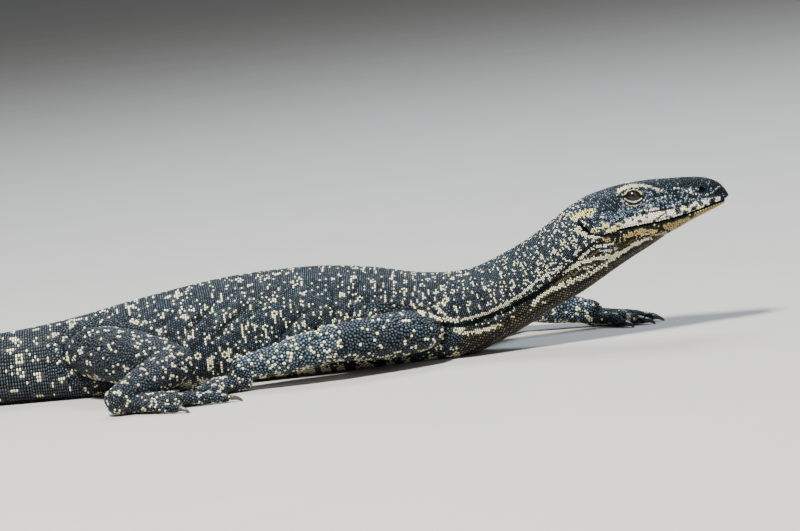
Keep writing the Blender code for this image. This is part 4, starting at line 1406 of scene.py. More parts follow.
def paint(chosen, colour, strength=1.0, unevenness=0.12):
    """Gives the chosen scales a colour, each a little different."""
    count = int(np.count_nonzero(chosen)) if np.asarray(chosen).dtype == bool else len(chosen)
    wanted = np.array(colour) * rng.uniform(1 - unevenness, 1 + unevenness, count)[:, None]
    tint[chosen] += (wanted - tint[chosen]) * strength


def mark(number, half_along, half_across, colour, hole=0.0, ragged=0.2, fill=1.0):
    """Colours the scales in an oval about a scale. A rosette has a dark hole."""
    place = scale_points[number]
    reach = max(half_along, half_across) * MARK_REACH
    inside = np.array([entry[1] for entry in scale_tree.find_range(place, reach * MM)])
    out = (scale_points[inside] - place) / MM
    u, v = out @ along[number] / half_along, out @ across[number] / half_across
    size = np.hypot(u, v) + rng.uniform(-ragged, ragged, len(inside))
    facing = scale_normals[inside] @ scale_normals[number] > 0.2
    paint(inside[(size < 1) & (size >= hole) & facing & (rng.random(len(inside)) < fill)], colour)


# %% Marks over a region and along a line
def spread(chosen, distance):
    """Numbers of scales among the chosen, in random order, about a distance apart in millimetres."""
    open_scales = np.array(chosen)
    taken = []
    for number in rng.permutation(np.flatnonzero(open_scales)):
        if open_scales[number]:
            taken.append(number)
            room = distance * MM * rng.uniform(0.8, 1.25)
            for _, other, _ in scale_tree.find_range(scale_points[number], room):
                open_scales[other] = False
    return taken


def scatter(chosen, distance, half_along, half_across, colour, ragged=0.2, fill=1.0):
    """Ovals a distance apart, each with its two half lengths drawn between limits."""
    for number in spread(chosen, distance):
        mark(number, rng.uniform(*half_along), rng.uniform(*half_across), colour, ragged=ragged, fill=fill)


STROKE_RAGGED = 0.3         # of its half width, by which a stroke's edge wanders


def stroke(line, half_width, colour, fill=1.0, where=True):
    """Colours the scales along a side-view line, on both sides."""
    away, _ = line_distance(scale_x, scale_z, line)
    edge = half_width * (1 + STROKE_RAGGED * (rng.random(len(tint)) * 2 - 1))
    on_line = (away < edge) & (scale_aside > 3) & (in_rows | on_head | (scale_off < 9 * MM))
    paint(on_line & chance(fill) & where, colour)


def strokes(table, where=True):
    """Draws each row of a table: half width in millimetres, colour, share of the scales coloured, line."""
    for half_width, colour, fill, line in table:
        stroke(line, half_width, colour, fill, where)


# %% [markdown]
# ## Dashes and rosettes of the trunk
#
# The trunk's marks stand in faint cross rows. Most are dashes one scale long and a few scales high, some
# are small rosettes, and a few are rings. The back has fewer.

# %% Mark the trunk
ROW_PERIOD = 8.4            # from one cross row of marks to the next, in millimetres
TRUNK_START = TAIL_ROOT + 1.6
FLANK_LEVEL = 24            # height of the row of large spots low on the flank

# Lighter bluish scales at random: partly the animal's blue-black, partly a painted sheen of glossy scales.
paint(chance(0.32), BLUE_AND_SHEEN, 0.9, 0.5)
underneath = scale_normals[:, 2] < -0.55
belly = (scale_normals[:, 2] < -0.72) & (scale_z < 30)
trunk = in_rows & (scale_t > TRUNK_START) & (scale_t < NECK_ROOT)
neck = in_rows & (scale_t >= NECK_ROOT)
tail = in_rows & (scale_t <= TRUNK_START)
paint(tail, TAIL_GROUND, 0.9, 0.5)
row_phase = np.abs((scale_length / ROW_PERIOD) % 1 - 0.5)
for number in spread(trunk & (row_phase < 0.28), 4.6):
    flat_back = scale_normals[number, 2] > 0.75
    kind = rng.random()
    if kind < (0.40 if flat_back else 0.10):
        continue
    if kind < 0.70:
        mark(number, 0.85, rng.uniform(1.1, 3.3), CREAM, fill=0.92)
    elif kind < 0.96:
        mark(number, rng.uniform(1.3, 2.5), rng.uniform(1.1, 2.3), CREAM, ragged=0.3, fill=0.82)
    else:
        mark(number, 2.6, 2.6, CREAM, hole=0.5, fill=0.8)
paint(trunk & chance(0.03), CREAM)
low_flank = in_rows & (scale_t > HIPS) & (scale_t < SHOULDERS + 1) & (np.abs(scale_z - FLANK_LEVEL) < 3.5)
for number in spread(low_flank & (scale_normals[:, 2] < 0.5), 9.0):
    mark(number, 3.0, 2.6, CREAM)
print("scales of the trunk:", int(trunk.sum()))

# %% [markdown]
# ## Blotches and bands of the tail
#
# The tail's root has large blotches among fine dashes. Further out, pale bands take turns with dark ones,
# each with a thin broken line of pale scales in it.

# %% Mark the tail
TAIL_PERIOD = 18.0
TAIL_MIDDLE = TAIL_ROOT - 3.2       # station where blotches give way to bands
BAND_START = TAIL_ROOT - 3.0
BAND_PERIOD, BAND_SHARE = 64.0, 0.42
# Places of the large blotches in the side view, marked on both sides.
BLOTCHES = [
    (-219, 49), (-220, 38), (-220, 27), (-176, 60), (-169, 50), (-182, 34),
    (-127, 67), (-121, 51), (-88, 73), (-84, 57), (-82, 44),
]

tail_front = tail & (scale_t > TAIL_MIDDLE)
tail_phase = np.abs((scale_length / TAIL_PERIOD) % 1 - 0.5)
scatter(tail_front & (tail_phase < 0.17), 9.5, (1.8, 3.4), (2.0, 3.8), CREAM, fill=0.88)
for number in spread(tail_front & (tail_phase > 0.25), 8.0):
    mark(number, 1.0, rng.uniform(1.2, 2.8), CREAM)
for blotch_x, blotch_z in BLOTCHES:
    for side in (-1, 1):
        far_off = np.hypot(scale_x - blotch_x, scale_z - blotch_z)
        far_off[~in_rows | (scale_normals[:, 1] * side < 0.1)] = np.inf
        mark(int(np.argmin(far_off)), 3.6, 4.0, CREAM, ragged=0.25, fill=0.9)
tail_back = length_at(BAND_START) / MM - scale_length
band = (tail_back / BAND_PERIOD) % 1 + rng.normal(0, 0.03, len(tint))
paint(tail & (tail_back > 0) & (band < BAND_SHARE) & chance(0.92), CREAM, 0.92, 0.2)
paint(tail & (tail_back > 0) & (np.abs(band - 0.70) < 0.05) & chance(0.35), CREAM, 0.9, 0.2)
print("scales of the tail:", int(tail.sum()))

# %% [markdown]
# ## Legs and belly
#
# The legs carry rosettes, drawn out across the forearm. The forearm's ground is a lighter blue, partly the
# scales' own colour and partly a painted sheen of its glossy scales. The belly is pale with dark cross
# bands.

# %% Mark the legs and belly
LEG_PARTS = 23                  # lines in a leg: two of the leg, one of the palm or sole, four in each toe
on_arm = on_leg & (leg_number < 2 * LEG_PARTS)
upper_leg = on_leg & (leg_number % LEG_PARTS == 0)
forearm = on_arm & (leg_number % LEG_PARTS == 1)
paint(on_leg & ~on_arm & chance(0.6), LEG_GROUND, 0.9, 0.5)
paint(on_arm & chance(0.8), ARM_GROUND, 0.9, 0.5)
# The forearm's lighter blue is partly its own colour and partly a painted sheen of glossy scales.
paint(forearm & chance(0.9), FOREARM_BLUE_AND_SHEEN, 0.9, 0.4)
scatter(upper_leg & ~on_arm, 10.0, (1.9, 2.9), (1.9, 2.9), LEG_CREAM, 0.3, 0.8)
scatter(upper_leg & on_arm, 8.5, (1.8, 3.0), (1.8, 3.0), CREAM, 0.3, 0.8)
scatter(forearm, 6.4, (0.9, 1.8), (2.2, 4.4), CREAM, 0.35, 0.9)
scatter(on_leg & ~upper_leg & ~forearm, 7.6, (1.6, 2.7), (1.8, 3.4), LEG_CREAM, 0.35, 0.85)
paint(on_leg & chance(0.03), CREAM)
belly_band = np.sin(scale_length / 17 * 2 * np.pi + 1.2 * np.sin(scale_length / 9)) > 0.25
paint(belly & ~tail & ~on_leg & chance(0.88), BELLY_PALE, 0.92, 0.2)
paint(belly & on_leg & chance(0.5), BELLY_PALE, 0.9, 0.3)
paint(belly & ~tail & belly_band & chance(0.9), DARK, 0.95)
print("scales of the belly:", int(belly.sum()))

# %% [markdown]
# ## Painted shade in the creases
#
# The scales deep in a fold are painted black, as painted shade. A crease of the list is found by its line.
# An armpit isn't on the list, and is found by its shape: there a scale's neighbours stand above it, and it
# is painted black as shade too.

# %% Darken the creases with painted shade
HOLLOW = 0.13               # how far the neighbours stand above a scale, for their distance
# Painted shade: the scales at the bottom of each deep crease are painted black.
for line, depth, width, which in CREASES:
    away, _ = line_distance(scale_x, scale_z, line)
    painted_crease_shade = in_rows & (away < 0.42 * width) & (depth > 0.85) & ((which == 0) | (which == scale_side))
    paint(painted_crease_shade & chance(0.85), BLACK, 0.9)
# Painted shade: the scales in armpits and other hollows are painted black.
hollow = ((offset * scale_normals[:, None, :]).sum(axis=2) / np.linalg.norm(offset, axis=2)).mean(axis=1)
paint((hollow > HOLLOW) & ~on_head & chance(0.85), BLACK, 0.95)
print("scales in creases:", int((hollow > HOLLOW).sum()))

# %% [markdown]
# ## The neck and throat
#
# The neck has the finest lace, closer towards the head. Below its fold the throat is brown and black, with
# long pale streaks along the animal. The eye follows those from the chin to the chest, so each has a
# stroke of its own.

# %% Mark the neck and the ground of the throat
NAPE_X = (140, 232)         # over which the lace grows closer
THROAT_EDGE = [
    (128, 22), (162, 26), (200, 50), (236, 78), (250, 82), (262, 84), (275, 83), (290, 80), (300, 79),
]

closeness = soft_step(*NAPE_X, scale_x)
paint(neck & chance(0.7), NECK_GROUND, 0.9, 0.5)
low = soft_step(34, 6, scale_z - fold_z)
paint(neck & chance(0.07 + 0.05 * closeness + 0.05 * closeness * low), CREAM)
for number in spread(neck & (scale_normals[:, 2] < 0.85), 5.6):
    mark(number, 0.72, rng.uniform(0.7, 1.7), CREAM)
for number in spread(neck & (low > 0.3) & (scale_normals[:, 2] < 0.8), 6.4):
    if rng.random() < 0.35:
        mark(number, rng.uniform(1.6, 2.8), 0.72, CREAM, ragged=0.25)
    else:
        mark(number, 0.72, rng.uniform(1.6, 3.6), CREAM, ragged=0.25)
scatter(neck & (closeness * low > 0.4), 10.5, (0.7, 1.2), (1.6, 3.0), CREAM, 0.3, 0.9)
throat = (scale_x > 128) & (scale_x < 300) & (scale_z < fold_z - 1.8) & (in_rows | on_head)
throat &= (scale_x > 236) | (scale_t > NECK_ROOT - 1.2)
throat &= scale_z < read_off(THROAT_EDGE, scale_x) + 1
paint(throat, BROWN, 0.95, 0.4)
streak = np.sin(scale_z * 1.25 - scale_x * 0.62 + 1.3 * np.sin(scale_x * 0.09)) > 0.0
paint(throat & streak & chance(0.9), BLACK, 0.9)


# %% Draw the streaks of the neck and throat
THROAT_STROKES = [
    # under the neck's fold: a black painted shadow of the fold
    (2.0, BLACK, 0.9, [(112, 32), (132, 27), (152, 31.5), (172, 37.5), (192, 46), (208, 54), (222, 64)]),
    (1.3, CREAM, 0.92, [(93.5, 50), (100, 43), (111.4, 37.5), (119, 33.5), (130, 32), (145, 34.3),
                        (156, 36.3), (171, 42), (181, 47)]),
    (0.9, CREAM, 0.85, [(112, 46), (117, 40), (122, 35)]),
    (1.1, WHITE, 0.78, [(181, 47), (188, 52), (195, 57), (201, 60), (208, 62), (214, 66)]),
    (1.7, CREAM, 0.95, [(190, 37.7), (196.6, 43.2), (207.3, 48.2), (221, 52), (233.5, 56), (246, 60.5),
                        (262.5, 70.7), (272.2, 75.5), (280, 78.6), (289.2, 80.6)]),
    (1.7, CREAM, 0.92, [(217, 60.7), (228.3, 66.4), (242.3, 69.6), (253.2, 68.9), (262.5, 70.7)]),
    (1.3, CREAM, 0.9, [(226.9, 62.4), (236.9, 62.6), (246.1, 63), (256, 67)]),
    (1.4, WHITE, 0.75, [(230, 70), (236.5, 75.5), (244.1, 79.2), (250.6, 79.4), (258, 80.5)]),
    (1.2, THROAT_GREY, 0.7, [(246.6, 75.5), (253.7, 74.3), (260, 76)]),
    (1.0, CREAM, 0.6, [(213, 51.7), (222.5, 54.4), (233.7, 55.9)]),
    (1.6, CREAM, 0.9, [(126, 24.7), (135, 20.9), (147.3, 21.6), (161.7, 23.5)]),
    (0.9, CREAM, 0.5, [(172, 30), (186, 33), (204, 40)]),
    (1.4, CREAM, 0.9, [(228, 94), (237.7, 88), (246.5, 85.4), (256, 84.3)]),
    # just under the crest of the neck's fold: a black painted shadow
    (1.1, BLACK, 1.0, [(213.9, 61), (224, 68), (234, 77), (243.5, 81.3), (254, 82.6), (264, 82)]),
]
strokes(THROAT_STROKES)
print("streaks of the throat:", len(THROAT_STROKES))

# %% [markdown]
# ## The head
#
# The crown is black with fine grey dots, and the cheek is lighter and bluer. The stipple comes from rules
# of low odds laid over each other, not from one grey.

# %% Stipple the crown and cheeks
above = scale_z - read_off(MOUTH, scale_x)
head_top = on_head & (scale_normals[:, 2] > 0.45)
cheek = on_head & ~head_top & (above > 0)
forepart = soft_step(285, 305, scale_x)
low_face = cheek & (scale_z < 112)
paint(on_head & (above > 0) & (scale_x > 250), DARK, 0.95, 0.5)
paint(head_top & chance(0.7), BLACK, 0.85, 0.3)
paint(head_top & chance(0.26 - 0.10 * forepart), CROWN_GREY, 0.9, 0.5)
paint(head_top & chance(0.06 - 0.03 * forepart), PALE, 0.7, 0.4)
paint(head_top & (scale_x < 250) & chance(0.10), PALE, 0.8, 0.4)
paint(head_top & (scale_x < 240) & chance(0.10), CREAM, 0.8, 0.2)
paint(cheek & chance(0.65 - 0.40 * forepart), CHEEK_GREY, 0.9, 0.5)
paint(cheek & chance(0.45 * forepart), BLACK, 0.8, 0.3)
paint(cheek & chance(0.25 + 0.04 * forepart), PALE, 0.9, 0.4)
paint(cheek & chance(0.04 + 0.05 * forepart), WHITE, 0.85, 0.25)
paint(low_face & (scale_x > 262) & (scale_x < 330) & chance(0.18), PALE, 0.95, 0.3)
paint(cheek & (scale_x < 252) & (scale_z < 108) & chance(0.09), CREAM, 0.9)
paint(on_head & (scale_x < 250) & (scale_z < 88) & chance(0.14), CREAM, 0.9)
print("scales of the crown and cheeks:", int((head_top | cheek).sum()))

# %% [markdown]
# ## The chin and lips
#
# The chin is tan with black bars that slant back. The upper lip is nearly white, yellow at the corner of
# the mouth, with dark spots that grow towards the snout. They are few and plain to see, so each has its
# own place in a table.

# %% Bar the chin
CHIN_STROKES = [
    (1.9, TAN, 0.95, [(267, 84.3), (276, 85.6), (285, 86.8), (292, 86.2)]),
    (3.4, TAN, 0.95, [(301, 88.3), (309, 90.8), (318, 93)]),
    (2.4, TAN, 0.95, [(299, 83), (307, 86.6)]),
    (2.7, TAN, 0.95, [(328, 95.8), (334, 97.8), (341, 99.8)]),
    (1.3, TAN, 0.95, [(290, 82.8), (297, 81.6)]),
    (0.7, CHIN_STREAK, 0.9, [(281, 83.6), (287, 84.4), (293, 84.6)]),
    (1.1, BLACK, 1.0, [(272, 90.6), (281.5, 90.4), (289.6, 89), (295.8, 87.2), (301.9, 84), (305, 81)]),
    (0.8, BLACK, 0.85, [(296, 90.5), (309, 93), (320, 94.6)]),
    (1.4, BLACK, 0.75, [(309, 94.4), (318, 95.6), (327, 98)]),
]
chin = on_head & (above <= 0) & ~throat
paint(chin, BLACK, 0.95, 0.3)
paint(chin & chance(0.32), TAN, 0.9, 0.25)
paint(chin & (np.abs(scale_aside) < 9), TAN, 0.95, 0.2)
strokes(CHIN_STROKES, chin)
print("scales of the chin:", int(chin.sum()))

# %% Bar the upper lip
LIP_START, LIP_END = 251, 338
LIP_TOP = [
    (252, 89.5), (258, 94), (265.3, 96.4), (273, 98.9), (282.2, 99.7), (291.3, 99.9),
    (300.6, 100.8), (309.8, 101.4), (319, 102.8), (325.6, 103.9), (333, 105), (338, 105.4),
]
# Dark spots of the lip: x, half length, height above the mouth, half height.
LIP_SPOTS = [
    (262, 0.9, 3.6, 1.3), (268, 0.9, 5.4, 1.3), (275, 1.0, 6.2, 1.2), (281, 0.8, 4.2, 1.0),
    (287, 0.9, 5.6, 1.3), (292, 1.2, 0.8, 1.5), (297, 1.0, 4.4, 1.5), (302, 1.3, 6.4, 2.0),
    (306, 1.1, 1.4, 1.4), (312, 2.2, 5.8, 2.2), (317, 1.7, 1.6, 1.9), (320, 1.6, 6.0, 1.8),
    (325, 2.0, 2.6, 2.0), (330, 1.4, 5.6, 1.4), (334, 1.2, 1.6, 1.5),
]
lip_top = read_off(LIP_TOP, scale_x) + rng.normal(0, 0.4, len(tint))
lip = on_head & (above > 0) & (scale_z < lip_top) & (scale_x > LIP_START) & (scale_x < LIP_END)
paint(lip, CREAM, 0.97, 0.08)
paint(lip & (scale_x > 270), WHITE, 0.75, 0.06)
paint(lip & (scale_x < 266), YELLOW, 0.6)
for place, half, rise, tall in LIP_SPOTS:
    blot = np.hypot((scale_x - place) / half, (above - rise) / tall)
    paint(lip & (blot < 1 + rng.uniform(-0.3, 0.3, len(tint))), BLACK, 0.95)
paint(lip & chance(0.06), BLACK, 0.9)
print("scales of the upper lip:", int(lip.sum()))

# %% [markdown]
# ## Cheek lines, ear and eyelids
#
# Thin lines edge the lip, the ear and the brow. The eyelids are black with a pale rim of their own, and a
# second thin line runs under the lower lid.

# %% Draw the lines of the cheek and the ear
CHEEK_STROKES = [
    (0.7, BLACK, 0.9, [(262, 97), (270, 99.6), (282, 101), (292, 101.2), (301, 102.2), (312, 102.8),
                       (325, 105.2)]),
    (0.75, LIP_ROSE, 0.95, [(281.6, 102.6), (289.8, 102.8), (296, 102.8)]),
    (0.8, PALE, 0.6, [(300, 103.2), (310, 103.8), (322, 105.4)]),
    (1.7, YELLOW, 0.9, [(228.6, 102.9), (234.7, 104.6), (240.3, 106.3), (245, 107.2)]),
    (1.8, YELLOW, 0.9, [(243.9, 91.9), (248.2, 93.3), (253, 95.1), (256, 96.7)]),
    (1.0, PALE, 0.7, [(256, 96.7), (262, 99.4), (269.1, 100.8)]),
    (0.9, PALE, 0.6, [(288, 116.1), (297.9, 115)]),
    # along the crease from the ear to the jaw: black painted shade in the crease
    (0.95, BLACK, 1.0, [(232.4, 100.2), (235.4, 94.3), (239.6, 90.2), (246.6, 87.6), (255, 86.9),
                        (266, 87.4)]),
    (0.8, CREAM, 0.85, [(235.3, 100.5), (238.5, 96.0), (243.5, 92.3)]),
]
strokes(CHEEK_STROKES)
u, v = turned(scale_x - EAR[0], scale_z - EAR[1], EAR_LEAN)
# Painted shade: the scales round the ear's opening are painted black.
paint((on_head | in_rows) & (scale_aside > 8) & (np.hypot(u / 1.8, v / 7.4) < 1), BLACK)
print("lines of the cheek:", len(CHEEK_STROKES))

# %% Mark the eyelids, brow and snout
BROW_STROKES = [
    (0.95, BROW_PALE, 0.76, [(264.8, 117.4), (266.8, 119.8), (272.3, 121.5), (278, 122.2), (285.2, 121.6),
                             (290.6, 120.4), (295.8, 118.5), (298.4, 116.9)]),
    (1.1, YELLOW, 0.5, [(264.8, 117.4), (266.8, 119.8), (272.3, 121.5)]),
]
BROW_ASIDE = 6.0            # how far from the head's middle the pale brow starts
BROW_CLEAR = 2.8            # and how far from the lids' edge

u, v = turned(scale_x - EYE[0], scale_z - EYE[2], EYE_SLANT)
lids = from_lids(scale_x, scale_z)
eyelids = on_head & (scale_aside > 8)
paint(eyelids & (lids < 4.6), BLACK, 0.95, 0.3)
paint(eyelids & (lids < 5.0) & (lids > 1.9) & chance(0.16), PALE, 0.8, 0.3)
second = np.abs(lids - 3.4) < 0.45
paint(eyelids & second & (scale_z < 113) & chance(0.9), OUTER_LID, 0.85, 0.2)
paint(eyelids & (lids < 2.1) & (scale_z > EYE[2] + 0.8), UPPER_LID, 0.97, 0.1)
paint(eyelids & (lids < 1.25) & (scale_z <= EYE[2] + 0.5), LOWER_LID, 0.95, 0.15)
# Painted shade: black where the lids meet the eye.
paint(eyelids & (lids < 0.3), BLACK, 0.8)
strokes(BROW_STROKES, (scale_aside > BROW_ASIDE) & (lids > BROW_CLEAR))
# Painted shade: black in the eye's corners.
paint(eyelids & (np.abs(v) < 1.3) & (np.abs(u) > 5.6) & (np.abs(u) < 9), BLACK)
paint(on_head & (scale_x > 341) & (above > 0), BLACK, 0.85)
paint(on_head & (scale_x > 338) & (above > 0) & chance(0.12), PALE, 0.8, 0.3)
stroke([(343.5, 104.2), (346, 104.8)], 1.7, WHITE, 0.7)
print("pale scales:", int((tint.mean(axis=1) > 0.2).sum()), "of", len(tint))

# %% [markdown]
# ## From places to solid scales
#
# Each scale is a small closed bead of thirteen points: a base ring sunk in the skin, a smaller ring above
# it, and a top. Light and shade are painted into each bead's colour point by point: painted shade darkens
# its sides, so a pale scale has a dark rim, and a painted highlight gives a dark scale a lighter dot in its
# middle. All the scales of a region become one mesh in one go. Each also gets a patch on the map that the
# colours are baked to, in the order the scales have on the animal.

# %% Shape the beads
PATCH = 0.003               # size of a scale's patch on the map
SEAM = 0.06 * MM            # left open round each scale
ROW_SHARE = 0.78            # of its length that a scale in a row fills, so grooves part the rows
SUNK = 0.22 * MM
RING_SIZES = (0.97, 0.74)   # of the base ring and the upper ring
RING_HEIGHT = 0.72          # of the bead's height, for the upper ring
TAIL_WIDER = 0.14           # added to the upper ring across the tail
HEIGHTS = (0.14 * MM, 0.5 * MM)

bead_height = np.clip(0.25 * scale_room, *HEIGHTS)
bead_height[underneath] *= 0.6
reach = np.maximum(outline_reach - SEAM, 0.3 * outline_reach)
on_tail_share = np.where(in_rows, 1 - soft_step(TAIL_ROOT, TAIL_ROOT + 3, scale_t), 0)
# On the tail, the painted shade at a bead's sides is eased across the body, so a row's scales run together.
beside = np.sin(outline_angle) ** 2 * on_tail_share[:, None]    # on the tail a row's scales run together
row_share = np.where(in_rows, ROW_SHARE + 0.06 * (1 - on_tail_share), 1.0)


def scale_ring(size, wider=0.0):
    """The outline of every scale at a share of its size, wider across the body on the tail."""
    flat_along = np.cos(outline_angle) * reach * (size * row_share)[:, None]
    flat_across = np.sin(outline_angle) * reach * (size + wider * on_tail_share)[:, None]
    return flat_along[:, :, None] * along[:, None, :] + flat_across[:, :, None] * across[:, None, :]


lean_back = along * (-0.12 * scale_room)[:, None]
lift = (scale_normals * (RING_HEIGHT * bead_height)[:, None])[:, None, :]
base = scale_points[:, None, :] + scale_ring(RING_SIZES[0]) - scale_normals[:, None, :] * SUNK
upper = scale_points[:, None, :] + scale_ring(RING_SIZES[1], TAIL_WIDER) + lift
top = (scale_points + scale_normals * bead_height[:, None] + lean_back)[:, None, :]
beads = np.concatenate([base, upper, top], axis=1)
beads[:, :, 2] = np.maximum(beads[:, :, 2], 0.0)
BEAD_POINTS = 2 * SIDES + 1
one = np.arange(SIDES)
two = (one + 1) % SIDES
bead_walls = np.stack([one, two, two + SIDES, one + SIDES], axis=1)
bead_caps = np.stack([one + SIDES, two + SIDES, np.full(SIDES, 2 * SIDES)], axis=1)
bead_floor = np.array([(3, 2, 1, 0), (5, 4, 3, 0)])
flat_rings = np.concatenate([ways, ways * RING_SIZES[1], np.zeros((len(scale_points), 1, 2))], axis=1)
flat_beads = flat_rings * (PATCH / 2)
print("median height of a bead in mm:", round(float(np.median(bead_height)) / MM, 2))

# %% Paint shade and highlights into the beads
# Painted light: each bead's sides get painted shade, darkest at its base, and a dark scale's top gets a
# painted highlight.
paleness = tint.mean(axis=1)
base_painted_shade = np.interp(paleness, (0.1, 0.5), (0.10, 0.42))
ring_painted_shade = np.interp(paleness, (0.1, 0.4), (0.36, 0.96))
painted_highlight = np.clip(0.5 / paleness, 1.04, 3.1)      # so a dark scale has a lighter dot in its middle
shade = np.repeat(np.stack([base_painted_shade, ring_painted_shade, painted_highlight], axis=1), (SIDES, SIDES, 1), axis=1)
shade[:, :SIDES] += (0.6 - shade[:, :SIDES]) * beside
shade[:, SIDES:2 * SIDES] += (np.minimum(painted_highlight, 1.6)[:, None] - shade[:, SIDES:2 * SIDES]) * beside
print("shade of the tops:", np.round([painted_highlight.min(), painted_highlight.max()], 2))


# %% Turn scales into pieces
def give_tint(thing, colours):
    """Stores a colour for each point of the mesh, which the finishes read."""
    layer = thing.data.color_attributes.new("tint", "FLOAT_COLOR", "POINT")
    rows = np.concatenate([colours, np.ones((len(colours), 1))], axis=1)
    layer.data.foreach_set("color", rows.astype(np.float32).ravel())


def map_places(first, second):
    """A place on the map for each scale: rows by the first measure, and along each row by the second."""
    count = len(first)
    rows = math.ceil(math.sqrt(count))
    order = np.argsort(first)
    places = np.zeros((count, 2))
    for row in range(rows):
        members = order[row * rows:(row + 1) * rows]
        members = members[np.argsort(second[members])]
        places[members, 0] = (np.arange(len(members)) + 0.5) / rows
        places[members, 1] = (row + 0.5) / rows
    return places


def coat_piece(name, chosen, first, second):
    """One mesh of the chosen scales."""
    chosen = np.flatnonzero(chosen)
    start = (np.arange(len(chosen)) * BEAD_POINTS)[:, None, None]
    faces = [(f[None] + start).reshape(-1, f.shape[1]) for f in (bead_walls, bead_caps, bead_floor)]
    piece = mesh_from(name, beads[chosen].reshape(-1, 3), faces)
    colours = np.minimum(tint[chosen][:, None, :] * shade[chosen][:, :, None], 0.96)
    give_tint(piece, colours.reshape(-1, 3))
    places = map_places(first[chosen], second[chosen])
    on_map = (places[:, None, :] + flat_beads[chosen]).reshape(-1, 2)
    layer = piece.data.uv_layers.new(name="OFBake")
    layer.data.foreach_set("uv", on_map[corners_of(piece)].astype(np.float32).ravel())
    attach(piece, "root")
    return piece


# %% Build the coat's pieces
MOST_SCALES = 8900          # in one piece
LEG_PIECES = ("scales_arm_right", "scales_arm_left", "scales_leg_right", "scales_leg_left")

around_leg = np.arctan2(scale_normals[:, 2], scale_normals[:, 1])
down_leg = np.zeros(len(scale_points))
for number, (start, end) in enumerate(leg_lines):
    mine = on_leg & (leg_number == number)
    way = end - start
    down_leg[mine] = number * 100 + (scale_points[mine] / MM - start) @ way / np.linalg.norm(way)
trunk_middle = np.median(scale_t[trunk])
regions = {
    "scales_head": on_head & (above > 0),
    "scales_chin": on_head & (above <= 0),
    "scales_neck": neck,
    "scales_trunk_front": trunk & (scale_t > trunk_middle),
    "scales_trunk_back": trunk & (scale_t <= trunk_middle),
    "scales_tail_base": tail & (scale_t > TAIL_MIDDLE),
    "scales_tail_end": tail & (scale_t <= TAIL_MIDDLE),
}
for number, name in enumerate(LEG_PIECES):
    regions[name] = on_leg & (leg_number // LEG_PARTS == number)
coat = []
for name, chosen in regions.items():
    slot = "throat" if name == "scales_chin" else "skin"
    first, second = (down_leg, around_leg) if name in LEG_PIECES else (scale_length, scale_angle)
    pieces = math.ceil(chosen.sum() / MOST_SCALES)
    cuts = np.quantile(first[chosen], np.linspace(0, 1, pieces + 1))
    for part in range(pieces):
        within = chosen & (first >= cuts[part]) & ((first < cuts[part + 1]) | (part == pieces - 1))
        coat.append(coat_piece(name if pieces == 1 else f"{name}_{part + 1}", within, first, second))
print({piece.name: len(piece.data.vertices) // BEAD_POINTS for piece in coat})

# %% [markdown]
# ## The skin between the scales
#
# The seams take the colour of the nearest scale, darker, so that black lines don't cut up a pale mark.
# Openings such as the nostril, the slit of the mouth, the ear and the seam round the eye are painted black,
# as painted shade.

# %% Colour the skin as the scales on it
nearest = np.array([scale_tree.find(point)[1] for point in skin_points])
x, aside, z = head_view(skin_points)
seam_share = np.where(x > 250, np.interp(paleness[nearest], (0.1, 0.6), (0.15, 0.44)), 0.06)
skin_tint = tint[nearest] * seam_share[:, None] + np.array(BLACK) * 0.5
# Painted shade: the skin in the nostril, the slit of the mouth, the ear and the seam round the eye is black.
painted_shade_in_openings = (aside > 5) & (np.hypot(x - NOSTRIL[0], z - NOSTRIL[1]) < 2.6)
painted_shade_in_openings |= (x > 258) & (np.abs(z - read_off(MOUTH, x)) < 0.9)
u, v = turned(x - EAR[0], z - EAR[1], EAR_LEAN)
painted_shade_in_openings |= (aside > 8) & ((np.hypot(u / 1.7, v / 7.0) < 1) | (from_lids(x, z) < 0.3))
skin_tint[painted_shade_in_openings] = np.array(BLACK) * 0.6
give_tint(skin, skin_tint)
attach(skin, "root")
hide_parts(*[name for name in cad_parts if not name.startswith(("claw", "eye"))])
print("share of the skin in openings:", round(float(painted_shade_in_openings.mean()), 3))

# %% [markdown]
# ## Finishes of scales and skin
#
# A clean scale is horn: satin, with a thin clear gloss and a little grime. Its colour comes from the mesh,
# and noise varies it and the gloss. The skin between is duller, with a finer grain.

# %% Mix the finishes
MOTTLE_DARK, MOTTLE_BRIGHT = (0.45, 0.45, 0.45), (1.5, 1.5, 1.5)
scales_finish = Finish("scales")
place = scales_finish.place()
mottle = scales_finish.noise(place, 900.0, 2.0)
broad = scales_finish.noise(place, 60.0, 3.0)
grime = scales_finish.mix(mottle, MOTTLE_DARK, MOTTLE_BRIGHT)
scales_finish.set(
    base_color=scales_finish.mix(0.35, scales_finish.attribute("tint"), grime, "MULTIPLY"),
    roughness=(mottle * 0.2 + broad * 0.12 + 0.26).clamped(),
    specular=0.16,
    specular_tint=(0.66, 0.85, 1.0),
    coat=0.25,
    coat_roughness=0.13,
    normal=scales_finish.bump(mottle, 0.25, 0.0002),
)
skin_finish = Finish("skin")
fine = skin_finish.noise(skin_finish.place(), 1800.0, 3.0)
skin_finish.set(
    base_color=skin_finish.attribute("tint"),
    roughness=0.6,
    specular=0.10,
    specular_tint=(0.60, 0.82, 1.0),
    normal=skin_finish.bump(fine, 0.4, 0.0002),
)
for piece in coat:
    piece.data.materials.append(scales_finish.material)
skin.data.materials.append(skin_finish.material)
print("pieces with the scales' finish:", len(coat))

# %% [markdown]
# ## The eyes
#
# A monitor's eye is dark brown with a round pupil and a thin lighter ring about it, under a clear wet
# front. One sphere holds all of it: the colour changes with the distance from the middle of the pupil,
# and a clear coat over it gives the glint.

